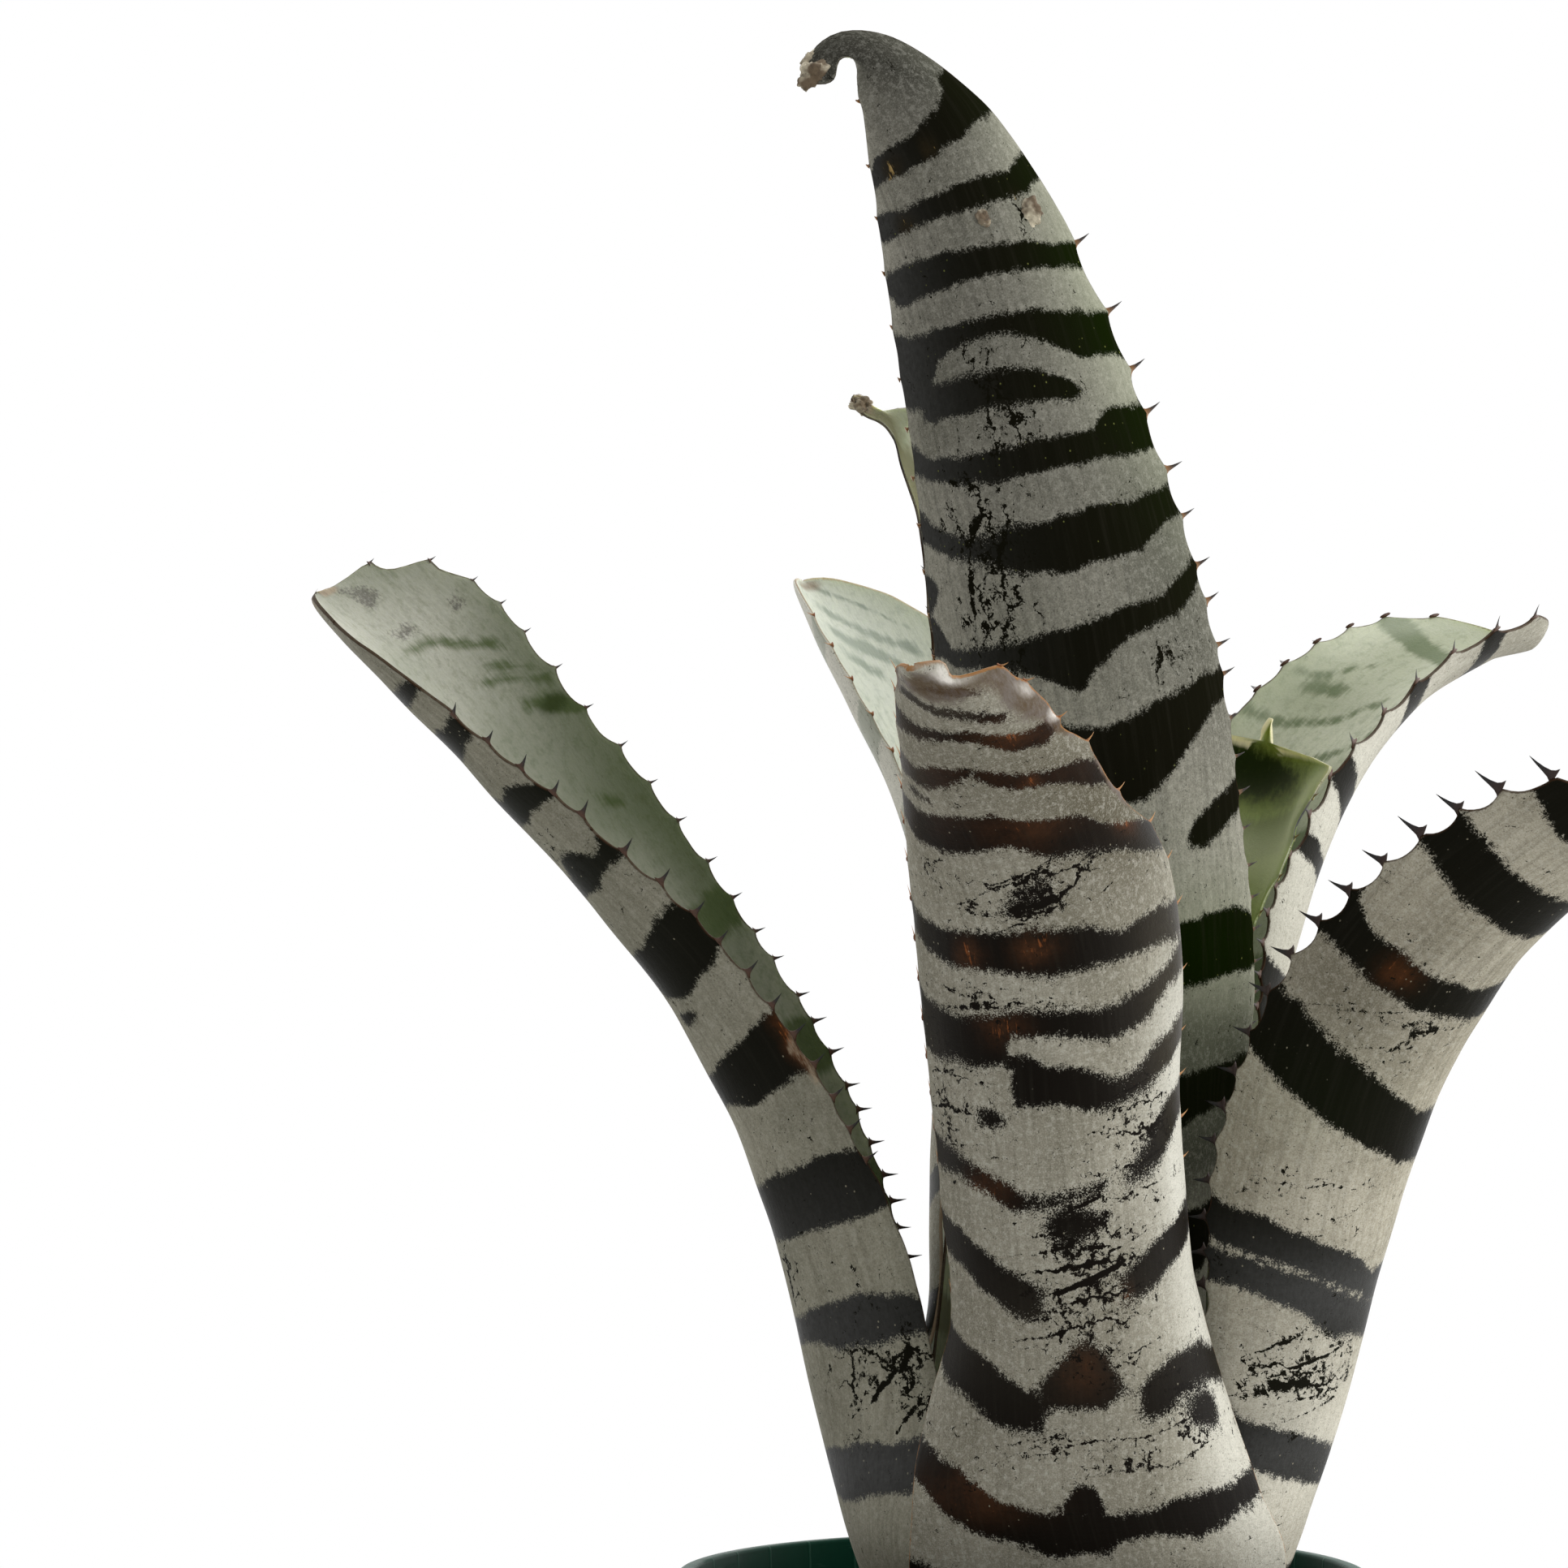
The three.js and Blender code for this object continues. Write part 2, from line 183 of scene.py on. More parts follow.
silverLook = {
    "silver": tint(166, 162, 147),
    "silverDeep": tint(140, 136, 121),
    "flecksAndPaintedLight": tint(214, 212, 200),
    "shadow": tint(94, 89, 74),
    "dark": tint(20, 19, 12),
    "darkGreen": tint(14, 25, 2),
    "darkDusty": tint(44, 42, 35),
    "bloomAndSheen": tint(78, 78, 77),  # silver bloom left on a dark band, and painted sheen where light grazes it
    "speck": tint(150, 144, 124),
    "rust": tint(92, 54, 28),
    "ember": tint(146, 84, 44),
    "dry": tint(90, 62, 42),
    "dryPale": tint(158, 142, 120),
    "shredHighlight": tint(232, 226, 218),
    "innerPaintedLight": tint(224, 228, 212),
    "innerPale": tint(200, 202, 182),
    "innerDeep": tint(158, 163, 138),
    "innerGreen": tint(92, 106, 72),
    "innerDark": tint(34, 44, 8),
    "stain": tint(70, 64, 62),
    "sunlit": tint(118, 128, 20),  # where light comes through a young margin
    "margin": tint(58, 40, 26),
    "marginWide": 0.5,
    "crackAcross": 0.16,  # cracks to the millimetre across and along the leaf
    "crackAlong": 0.05,
    "wrinkle": (1.5, 0.3),  # wrinkles to the millimetre across and along
    "ragged": 1.0,  # how uneven the edges of the dark bands are
    "flecks": 1.0,
    "gloss": 0.03,
    "innerGloss": 0.12,
    "glow": 0.35,  # how much light comes through to the inner side
    "horn": "dark",
}


# The finish of one side of a leaf, from what its vertices carry.
class LeafFinish(Finish):
    def __init__(self, name, look, seed):
        super().__init__(name)
        self.look = look
        self.seed = seed
        self.flat = self.node("ShaderNodeUVMap", {"uv_map": "flat"}, {})
        self.marks = self.parts("marks")  # how deep inside a dark band, wear and rust; rust on the inner side is painted light coming through
        self.tone = self.parts("tone")  # dry, green and pale; pale is painted light above nought and painted shade below it
        self.cloud = self.parts("cloud")  # broad, coarse and middling noise
        self.inward, self.bloomAndSheen = self.parts("edge")[:2]

    def lay(self, across, along, shift=0.0):  # the flat leaf, stretched, in millimetres
        shift = (0, 0, self.seed + shift)
        return self.scaled(self.flat, (1000 * across, 1000 * along, 0), shift)

    def grown(self, across, along, shift, *settings):  # noise that follows the leaf
        return self.noise(self.lay(across, along, shift), *settings)

    def shredded(self, fibre):
        share = ((fibre - 0.5) * 2.4 + self.cloud[1] + 0.3).clamped()
        return self.mixed(share, self.look["dry"], self.look["dryPale"])

    def marginLine(self, fibre):
        line = 1 - (self.inward + (fibre - 0.5) * 0.8).rise(0.05, self.look["marginWide"])
        return line * (1 - self.bloomAndSheen)


def leafOuter(name, look, seed):
    paint = LeafFinish(name, look, seed)
    depth, wear, rust = paint.marks
    dry, green, pale = paint.tone
    patch, coarse, middling = paint.cloud
    fibre = paint.grown(1.6, 0.45, 0, 3.0, 0.65)
    grain = paint.grown(2.9, 2.5, 9, 3.0, 0.75)
    mealy = paint.grown(0.8, 0.65, 49, 4.0, 0.7)
    streak = paint.grown(0.8, 0.03, 17, 2.0, 0.6)
    wrinkle = paint.grown(*look["wrinkle"], 57, 3.0, 0.6)

    # The dark bands, with ragged and stippled edges.
    ragged = look["ragged"]
    stipple = (grain - 0.5) * (ragged * (3.6 + wear * 14)) + (mealy - 0.5) * (ragged * 3)
    band = (depth + coarse * 1.1 + (fibre - 0.5) * (ragged * 1.7) + stipple).rise(-0.7, 0.7)

    # Flaked places, pits and fine cracks, all thicker where the leaf is worn.
    flaked = paint.grown(0.42, 0.36, 33, 5.0, 0.8, 0.5)
    worn = wear * 0.17 + middling * 0.035
    flake = (flaked + worn).rise(0.66, 0.675)
    pit = (grain * 0.6 + flaked * 0.4 + wear * 0.09).rise(0.64, 0.67)
    wander = paint.grown(0.3, 0.28, 25, 3.0, 0.6)
    bent = paint.scaled(wander, (1.1, 1.1, 0), paint.lay(look["crackAcross"], look["crackAlong"]))
    gap = paint.cells(bent, "DISTANCE_TO_EDGE")
    cracked = (worn * 6 + (flaked - 0.5) * 2.6).rise(0.15, 0.7)
    crack = (cracked * 0.07 - gap + (grain - 0.5) * 0.06).rise(-0.004, 0.01)
    hurt = crack.most(flake).most(pit)

    silver = paint.layered(
        look["silverDeep"],
        ((patch * 0.9 + coarse * 0.3 + 0.55).clamped(), look["silver"]),
        (streak.rise(0.35, 0.75) * 0.35, look["shadow"]),
        # Where pale is above nought it is painted light, and where it is below it is painted shade.
        (pale.most(0), look["flecksAndPaintedLight"]),
        ((0 - pale).most(0), look["shadow"]),
        (grain.rise(0.46, 0.7) * 0.4, look["shadow"]),
        ((0.5 - grain).rise(0.0, 0.16) * (0.22 * look["flecks"]), look["flecksAndPaintedLight"]),
        (mealy.rise(0.5, 0.72) * 0.22, look["shadow"]),
        ((0.5 - mealy).rise(0.0, 0.14) * (0.2 * look["flecks"]), look["flecksAndPaintedLight"]),
        (wrinkle.rise(0.55, 0.72) * 0.2, look["shadow"]),
        (green * 0.5, look["innerDeep"]),
    )
    speck = paint.cells(paint.lay(0.5, 0.4, 37))
    dots = (0.1 - speck).rise(-0.02, 0.04) * (coarse + patch).rise(0.0, 0.3)
    scratch = paint.grown(1.3, 0.14, 65, 3.0, 0.7)
    ember = (rust + (scratch - 0.5) * 3 + (mealy - 0.5)).rise(0.85, 1.25)
    dark = paint.layered(
        look["dark"],
        (green, look["darkGreen"]),
        (streak.rise(0.45, 0.8) * 0.25, look["darkDusty"]),
        # Silver bloom on the dark bands, partly painted sheen where light grazes them near the
        # margins.
        ((paint.bloomAndSheen * (mealy + fibre * 0.6 + 0.2)).clamped(), look["bloomAndSheen"]),
        ((rust * 1.6 * (mealy + coarse * 0.4)).clamped(), look["rust"]),
        (ember * 0.8, look["ember"]),
        (dots * 0.7, look["speck"]),
    )
    # A painted highlight on the crumpled dry shreds, where the pale places paint light.
    shredHighlight = (pale.most(0) * 1.5 * (fibre + 0.2)).clamped()
    shred = paint.mixed(shredHighlight, paint.shredded(fibre), look["shredHighlight"])
    withered = (dry * 1.6 + coarse * 0.3 + (fibre - 0.5) * 0.6).rise(0.35, 0.85)
    colour = paint.layered(
        silver,
        (band.most(hurt), paint.mixed(hurt, dark, look["dark"])),
        (withered * 0.85, shred),
        (paint.marginLine(fibre) * 0.85, look["margin"]),
    )
    paint.shade(Base_Color=colour, Roughness=0.7 - band * 0.2 - withered * 0.1)
    paint.shade(Specular_IOR_Level=look["gloss"])
    paint.bump(grain * 0.5 + fibre * 0.3 + wrinkle * 0.5 + mealy * 0.4, 0.45, 0.3 * mm)
    return paint.material


def leafInner(name, look, seed):
    paint = LeafFinish(name, look, seed)
    depth, wear, rust = paint.marks
    dry, green, pale = paint.tone
    patch, coarse = paint.cloud[:2]
    fibre = paint.grown(1.1, 0.1, 0, 3.0, 0.6)
    grain = paint.grown(1.4, 1.2, 9, 2.0, 0.7)
    mealy = paint.grown(0.5, 0.3, 49, 4.0, 0.7)
    band = (depth + coarse * 1.2 + (fibre - 0.5) * 4).rise(-1.5, 1.4)
    stain = (wear + coarse * 0.5 + (grain - 0.5) * 1.4).rise(0.45, 1.0)
    withered = (dry * 1.6 + coarse * 0.3).rise(0.35, 0.85)
    colour = paint.layered(
        look["innerDeep"],
        ((patch * 0.7 + 0.55).clamped(), look["innerPale"]),
        (fibre.rise(0.35, 0.75) * 0.3, look["innerDeep"]),
        (grain.rise(0.3, 0.75) * 0.25, look["innerDeep"]),
        (mealy.rise(0.45, 0.7) * 0.3, look["innerGreen"]),
        (band * 0.85, look["innerGreen"]),
        ((green + (mealy - 0.5) * green).rise(0.1, 0.9), look["innerDark"]),
        # Painted light where pale is above nought, painted light coming through where the rust
        # places are, and painted shade where pale is below nought.
        (pale.most(0) * 0.8, look["innerPaintedLight"]),
        (rust.clamped(), look["sunlit"]),
        ((0 - pale).most(0), look["innerGreen"]),
        (stain * 0.65, look["stain"]),
        (withered * 0.8, paint.shredded(fibre)),
        (paint.marginLine(fibre) * 0.8, look["margin"]),
    )
    paint.shade(Base_Color=colour, Roughness=0.58, Specular_IOR_Level=look["innerGloss"])
    paint.shade(Subsurface_Weight=look["glow"], Subsurface_Radius=(1.0, 1.05, 0.7))
    paint.shade(Subsurface_Scale=1.6 * mm)
    paint.bump(grain * 0.5 + fibre * 0.5 + mealy * 0.6, 0.45, 0.4 * mm)
    return paint.material


def spineFinish(name, foot, point):
    paint = Finish(name)
    height = paint.parts("marks")[0]
    grain = paint.grainy((900, 900, 900), 2.0, 0.6)
    colour = paint.mixed((height + (grain - 0.5) * 0.5).rise(0.02, 0.6), foot, point)
    paint.shade(Base_Color=colour, Roughness=0.4 + grain * 0.2)
    paint.bump(grain, 0.3, 0.1 * mm)
    return paint.material


def huskFinish(deep, light, pits):
    paint = Finish("driedHusk")
    grain = paint.grainy((500, 500, 500), 5.0, 0.7)
    coarse = paint.grainy((160, 160, 160), 3.0, 0.6)
    layers = [(coarse.rise(0.4, 0.6), light), (grain.rise(0.5, 0.72) * 0.7, pits)]
    paint.shade(Base_Color=paint.layered(deep, *layers), Roughness=0.8)
    paint.bump(grain, 0.8, 0.6 * mm)
    return paint.material


horns = {
    "dark": spineFinish("darkHorn", tint(74, 44, 24), tint(17, 13, 11)),
    "black": spineFinish("blackHorn", tint(44, 24, 16), tint(16, 14, 13)),
    "amber": spineFinish("amberHorn", tint(132, 76, 38), tint(182, 134, 84)),
    "russet": spineFinish("russetHorn", tint(132, 86, 24), tint(34, 22, 15)),
    "pale": spineFinish("paleHorn", tint(150, 142, 84), tint(120, 92, 52)),
}
husk = huskFinish(tint(104, 88, 68), tint(204, 194, 170), tint(48, 38, 30))

print("stage: leaves")

# The crown that all the sheaths stand in, as in the solid model. The sheath's rows are the height,
# the reach from the middle, and how much less that is for each step inwards.
crown = {
    "x": 12,
    "lowest": 96,
    "rise": 3.5,  # from each leaf's foot to the next one's
    "sheath": [(0, 22.6, 2.2), (14, 36, 2.4), (30, 47, 3), (50, 56, 4)],
    "footCurl": 140,
    "levelUpTo": 150,  # below this the leaf's rows lie level
    "squareFrom": 215,  # above this they are square to the midrib
}

blade = {
    "middle": 1.5,  # thickness
    "edge": 0.75,
    "tipHalf": 1.3,
    "apex": {"half": 0.65, "square": 2},
    "samples": 240,
    "columns": 30,
    "rowLength": 1.15,
    "width": 80.0,
    "rounding": 0.3,
    "waver": 0.5,  # how far the margins and the sheet stray
    "crease": 0.7,
}

spines = {
    "hooks": {"plain": 0.35, "hooked": 0.9},
    "sides": 8,
    "rings": [(0.1, 0.62), (0.22, 0.38), (0.45, 0.23), (0.72, 0.13), (1.0, 0.02)],  # height, width
    "footLong": (0.3, 0.36),  # and by the spine's size
    "footWide": 0.45,
    "sunk": 0.7,
    "sizes": (0.85, 1.12),
    "leans": (-0.1, 0.1),
}

plainBand = {
    "slant": 4,
    "tall": (8, 13),
    "sag": 5,
    "lowUneven": 1.5,
    "highUneven": 2,
    "apart": (24, 33),
    "knots": (-1, -0.6, -0.2, 0.2, 0.6, 1),
    "innerFrom": 60,
    "innerShort": 15,  # of the leaf's end
    "reach": 12.0,  # how far from a band its depth is still counted
}


def linked(name, data):
    made = bpy.data.objects.new(name, data)
    bpy.context.scene.collection.objects.link(made)
    return made


def meshed(name, made, materials=()):
    mesh = bpy.data.meshes.new(name)
    made.to_mesh(mesh)
    made.free()
    for material in materials:
        mesh.materials.append(material)
    return mesh


def placed(name, made, materials, node):
    piece = linked(name, meshed(name, made, materials))
    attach(piece, "root")
    if node:
        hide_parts(node)
    return piece


def onlyOf(kind, items):
    return [item for item in items if isinstance(item, kind)]


def spline(values, share):  # Catmull-Rom through evenly spaced values
    last = len(values) - 1
    x = held(share) * last
    i = min(int(x), last - 1)
    f = x - i
    b = values[i]
    c = values[i + 1]
    a = values[i - 1] if i > 0 else 2 * b - c
    d = values[i + 2] if i + 2 <= last else 2 * c - b
    return b + f / 2 * (c - a + f * (2 * a - 5 * b + 4 * c - d + f * (3 * (b - c) + d - a)))


# The curved line up the middle of a leaf, and the leaf's surface round it.
class Midrib:
    def __init__(self, leaf):
        self.leaf = leaf
        turn = math.radians(leaf["facing"])
        out = Vector((math.cos(turn), math.sin(turn), 0))
        rows = []
        top = crown["sheath"][-1][0]
        for height, outermost, less in crown["sheath"]:
            reach = outermost - less * leaf["step"]
            curl = between(crown["footCurl"], leaf["wrap"], height / top)
            z = crown["lowest"] + crown["rise"] * leaf["step"] + height
            half = reach * math.radians(curl / 2)
            rows.append((crown["x"] + reach * out.x, reach * out.y, z, half, curl, 0))
        self.columns = list(zip(*(rows + leaf["rows"])))
        self.samples = []
        self.lengths = []
        inner = -out
        length = 0.0
        count = blade["samples"]
        for i in range(count + 1):
            share = i / count
            at = self.point(share)
            along = (self.point(share + 0.5 / count) - self.point(share - 0.5 / count)).normalized()
            inner = (inner - along * inner.dot(along)).normalized()
            if self.samples:
                length += (at - self.samples[-1][0]).length
            self.samples.append((at, along, inner))
            self.lengths.append(length)
        self.length = length
        self.shoulder = length - leaf["apex"]["tall"] if "apex" in leaf else length
        self.tipEnd = self.shareAt(self.shoulder) if "apex" in leaf else 1.0

    def value(self, column, share):
        return spline(self.columns[column], share)

    def point(self, share):
        return Vector([self.value(column, share) for column in range(3)])

    def shareAt(self, distance):
        i = bisect.bisect_left(self.lengths, distance, 1, len(self.lengths) - 1)
        low = self.lengths[i - 1]
        part = (distance - low) / (self.lengths[i] - low)
        return held((i - 1 + part) / (len(self.lengths) - 1))

    def station(self, distance):  # where the leaf is, its directions and how it curls there
        share = self.shareAt(distance)
        x = share * (len(self.samples) - 1)
        i = min(int(x), len(self.samples) - 2)
        low = self.samples[i]
        high = self.samples[i + 1]
        at, sloped, inner = [first.lerp(second, x - i) for first, second in zip(low, high)]
        square = ease(at.z, crown["levelUpTo"], crown["squareFrom"])
        along = Vector((0, 0, 1)).lerp(sloped.normalized(), square).normalized()
        inner = Matrix.Rotation(math.radians(self.value(5, share)), 3, along) @ inner
        side = inner.cross(along).normalized()
        inner = along.cross(side)
        start = self.leaf["tipStart"]
        apex = self.leaf.get("apex", blade["apex"])
        past = max(0.0, (share - start) / (self.tipEnd - start))
        narrowing = min(1, (1 - share) / (1.0001 - self.tipEnd))
        point = apex["half"] * narrowing + blade["tipHalf"] / 2
        tapered = self.value(3, share) * math.sqrt(max(0.0, 1 - past ** apex["square"]))
        return at, along, inner, side, max(tapered, point), math.radians(self.value(4, share)) / 2


def onSurface(station, across, lift):
    at, along, inner, side, half, bend = station
    radius = half / bend
    angle = across * bend
    raised = radius - lift
    return at + side * (raised * math.sin(angle)) + inner * (radius - raised * math.cos(angle))


# How far inside the nearest dark band a place is, or outside where it is negative.
def bandDepth(bands, across, distance, half):
    reach = plainBand["reach"]
    deepest = -reach
    for knots in bands:
        first = knots[0]
        last = knots[-1]
        lowest = min(low for place, low, high in knots)
        highest = max(high for place, low, high in knots)
        if distance < lowest - reach or distance > highest + reach:
            continue
        t = held(across, first[0], last[0])
        i = 1
        while i < len(knots) - 1 and knots[i][0] < t:
            i += 1
        a = knots[i - 1]
        b = knots[i]
        f = (t - a[0]) / (b[0] - a[0])
        depth = min(distance - between(a[1], b[1], f), between(a[2], b[2], f) - distance)
        if first[0] > -0.99:
            depth = min(depth, (across - first[0]) * half)
        if last[0] < 0.99:
            depth = min(depth, (last[0] - across) * half)
        deepest = max(deepest, depth)
    return min(deepest, reach)


def blotted(places, across, distance):  # soft round places on a leaf
    total = 0.0
    for middle, height, wide, tall, strength in places:
        far = ((across - middle) / wide) ** 2 + ((distance - height) / tall) ** 2
        if far < 9:
            total += strength * math.exp(-far)
    return held(total, -1.0)


def plainBands(seed, first, last):  # where the photograph shows none
    pick = random.Random(seed)
    bands = []
    distance = first
    while distance < last:
        slant = pick.uniform(-plainBand["slant"], plainBand["slant"])
        tall = pick.uniform(*plainBand["tall"])
        knots = []
        for across in plainBand["knots"]:
            low = distance + slant * across - plainBand["sag"] * (1 - across * across)
            low += pick.uniform(-plainBand["lowUneven"], plainBand["lowUneven"])
            uneven = pick.uniform(-plainBand["highUneven"], plainBand["highUneven"])
            knots.append((across, low, low + tall + uneven))
        bands.append(knots)
        distance += pick.uniform(*plainBand["apart"])
    return bands


# One hooked spine of height 1, standing on its flared foot.
def spineShape(name, hook):
    made = bmesh.new()
    bmesh.ops.create_circle(made, cap_ends=True, segments=spines["sides"], radius=1.0)
    bmesh.ops.reverse_faces(made, faces=made.faces[:])
    ring = made.edges[:]
    lastHeight = 0.0
    lastWidth = 1.0
    middle = 0.0
    for height, width in spines["rings"]:
        grown = bmesh.ops.extrude_edge_only(made, edges=ring)["geom"]
        points = onlyOf(bmesh.types.BMVert, grown)
        ring = onlyOf(bmesh.types.BMEdge, grown)
        shift = hook * height * height - middle
        middle += shift
        bmesh.ops.translate(made, vec=(shift, 0, height - lastHeight), verts=points)
        size = width / lastWidth
        centre = Matrix.Translation((-middle, 0, -height))
        bmesh.ops.scale(made, vec=(size, size, 1), space=centre, verts=points)
        lastHeight = height
        lastWidth = width
    bmesh.ops.contextual_create(made, geom=ring)
    bmesh.ops.recalc_face_normals(made, faces=made.faces[:])
    return meshed(name, made)


spineShapes = {name: spineShape(name + "Spine", hook) for name, hook in spines["hooks"].items()}


def sided(value, side):  # some settings of the spines differ on the two margins
    return value[side] if isinstance(value, dict) else value


def spinePlaces(rib, teeth, side):  # distances up the leaf
    if side in teeth["seen"]:
        return sorted(teeth["seen"][side])
    near, far = teeth["spacing"]
    places = []
    start = rib.length * teeth["from"]
    distance = start + (near / 2 if side > 0 else 0)
    while distance < rib.length - sided(teeth.get("bareEnd", far / 2), side):
        places.append(distance)
        distance += between(near, far, (distance - start) / (rib.length - start))
    return places


def scallop(places, distance, deep):  # the hollow between two spines, deep where they are 10 apart
    i = bisect.bisect_left(places, distance)
    if i == 0 or i == len(places):
        return 0.0
    gap = places[i] - places[i - 1]
    f = (distance - places[i - 1]) / gap
    return deep * min(gap / 10, 1.3) * (4 * f * (1 - f)) ** 0.7


def humps(rows, side, distance, start=0):  # each row is a margin, a middle, a height and a width
    heights = (
        height * math.exp(-(((distance - middle) / wide) ** 2))
        for edge, middle, height, wide in rows
        if edge == side
    )
    return sum(heights, start)


def trimmed(leaf, side, distance):  # how far the margin stands inside the plain outline
    wave = noise.noise(Vector((side * 9.0, distance * 0.16, leaf["seed"] * 1.7)))
    return humps(leaf["cutBack"], side, distance, wave * blade["waver"] * ease(distance, 90, 140))


def flatSheet(length):  # with a wall and a rounded rim, ready to be bent to the leaf
    made = bmesh.new()
    rows = round(length / blade["rowLength"])
    bmesh.ops.create_grid(made, x_segments=blade["columns"], y_segments=rows, size=0.5)
    bmesh.ops.scale(made, vec=(blade["width"], length, 1), verts=made.verts[:])
    bmesh.ops.translate(made, vec=(0, length / 2, 0), verts=made.verts[:])
    grown = bmesh.ops.extrude_face_region(made, geom=made.faces[:], use_keep_orig=True)["geom"]
    bmesh.ops.translate(made, vec=(0, 0, 1), verts=onlyOf(bmesh.types.BMVert, grown))
    bmesh.ops.recalc_face_normals(made, faces=made.faces[:])
    bmesh.ops.bevel(
        made,
        geom=[edge for edge in made.edges if abs(edge.calc_face_angle(0)) > 1],
        offset=blade["rounding"],
        offset_type="OFFSET",
        segments=2,
        profile=0.5,
        affect="EDGES",
        clamp_overlap=True,
        material=-1,
    )
    for face in made.faces:
        face.smooth = True
        face.material_index = 1 if face.normal.z < -0.5 else 0
    return made


def bendSheet(made, leaf, rib, places):
    low = plainBands(leaf["seed"], *leaf["plainFrom"])
    innerEnd = rib.length - plainBand["innerShort"]
    inner = plainBands(leaf["seed"] + 50, plainBand["innerFrom"], innerEnd)
    bands = {"outer": leaf["bands"] + low, "inner": leaf["innerBands"] or inner}
    names = ("marks", "tone", "cloud", "edge")
    marks, tone, cloud, edge = [made.verts.layers.float_vector.new(name) for name in names]
    flat = made.loops.layers.uv.new("flat")
    flatPlaces = {}
    nearby = 0.6
    for point in made.verts:
        q = held(2 * point.co.x / blade["width"], -1.0)
        across = q * (1.25 - 0.25 * q * q)  # rows stand closer towards the margins
        distance = held(point.co.y, 0.0, rib.length)
        level = held(point.co.z)
        station = rib.station(distance)
        half = station[4]
        side = 1 if across > 0 else -1
        spot = Vector((across * half, distance, leaf["seed"] * 7.7 + 3 * level))
        crease = noise.noise(Vector((across * 1.3, distance * 0.05, leaf["seed"] * 3.1)))

        # What the vertex carries for its finish.
        facing = "outer" if level > 0.5 else "inner"
        blots = leaf["blots"].get(facing, {})
        # Pale blots paint light where above nought and shade where below; on the inner side, rust
        # blots paint light that comes through.
        kinds = ("wear", "rust", "dry", "green", "pale", "bloomAndSheen")
        amounts = [blotted(blots.get(kind, []), across, distance) for kind in kinds]
        point[marks] = (bandDepth(bands[facing], across, distance, half), *amounts[:2])
        point[tone] = amounts[2:5]
        slope = (rib.station(distance - nearby)[4] - half) / nearby
        inward = min((1 - abs(across)) * half / math.hypot(1, slope), rib.length - distance)
        if "apex" in leaf and distance < rib.shoulder and abs(across) * half > leaf["apex"]["half"]:
            inward = max(0.0, min(inward, rib.shoulder - distance - 0.9 + crease))
        point[edge] = (inward, amounts[5], 0)
        point[cloud] = (
            noise.noise(spot * 0.045),
            noise.noise(spot * 0.17) + 0.5 * noise.noise(spot * 0.4),
            noise.noise(spot * 0.11 + Vector((9, 9, 9))) + 0.5 * noise.noise(spot * 0.3),
        )

        # Its place on the bent leaf, with the margin cut in between the spines.
        hollow = scallop(places[side], distance, sided(leaf["teeth"]["hollow"], side))
        deep = hollow * ease(abs(across), 0.5, 1.0) * ease(rib.length - distance, 0, 7)
        cut = trimmed(leaf, side, distance)
        deep += cut * max(ease(abs(across), 0.2, 1.0), min(1, 2 * cut / half - 0.5))
        shifted = across * (1 - deep / half)
        wall = between(blade["middle"], blade["edge"], across * across)
        lift = wall * (0.5 - level) + crease * blade["crease"] * ease(distance, 90, 150)
        flare = side * humps(leaf["flare"], side, distance) * ease(abs(across), 0.6, 1.0)
        flatPlaces[point] = (shifted * half * mm, distance * mm)
        point.co = (onSurface(station, shifted, lift) + station[3] * flare) * mm
    for face in made.faces:
        for loop in face.loops:
            loop[flat].uv = flatPlaces[loop.vert]


# The spines, each turned out from the margin and hooked towards the tip.
def growSpines(made, leaf, rib, places):
    teeth = leaf["teeth"]
    pick = random.Random(leaf["seed"])
    template = spineShapes[teeth["shape"]]
    thorns = bmesh.new()
    marks = thorns.verts.layers.float_vector.new("marks")
    foot, stretch = spines["footLong"]
    for side in (-1, 1):
        for distance in places[side]:
            station = rib.station(distance)
            along, inner, across, half, bend = station[1:]
            past = ease(distance, rib.length * teeth["from"], rib.length)
            size = between(*sided(teeth["length"], side), past) * pick.uniform(*spines["sizes"])
            turned = bend + teeth["tuck"].get(side, 0)
            out = (across * (side * math.cos(turned)) + inner * math.sin(turned)).normalized()
            lean = sided(teeth["lean"], side) + pick.uniform(*spines["leans"])
            stand = (out + along * lean).normalized()
            wide = stand.cross(along).normalized()
            long = wide.cross(stand).normalized() * (stretch * size + foot)
            turn = Matrix((long, wide * spines["footWide"], stand * (size + spines["sunk"])))
            edge = side * (1 - trimmed(leaf, side, distance) / half)
            flare = across * (side * humps(leaf["flare"], side, distance))
            root = onSurface(station, edge, 0) + flare - out * spines["sunk"]
            first = len(thorns.verts)
            thorns.from_mesh(template)
            thorns.verts.ensure_lookup_table()
            for point in thorns.verts[first:]:
                point[marks] = (point.co.z, 0, 0)
                point.co = (root + turn.transposed() @ point.co) * mm
    for face in thorns.faces:
        face.smooth = True
        face.material_index = 2
    made.from_mesh(meshed("thorns", thorns))


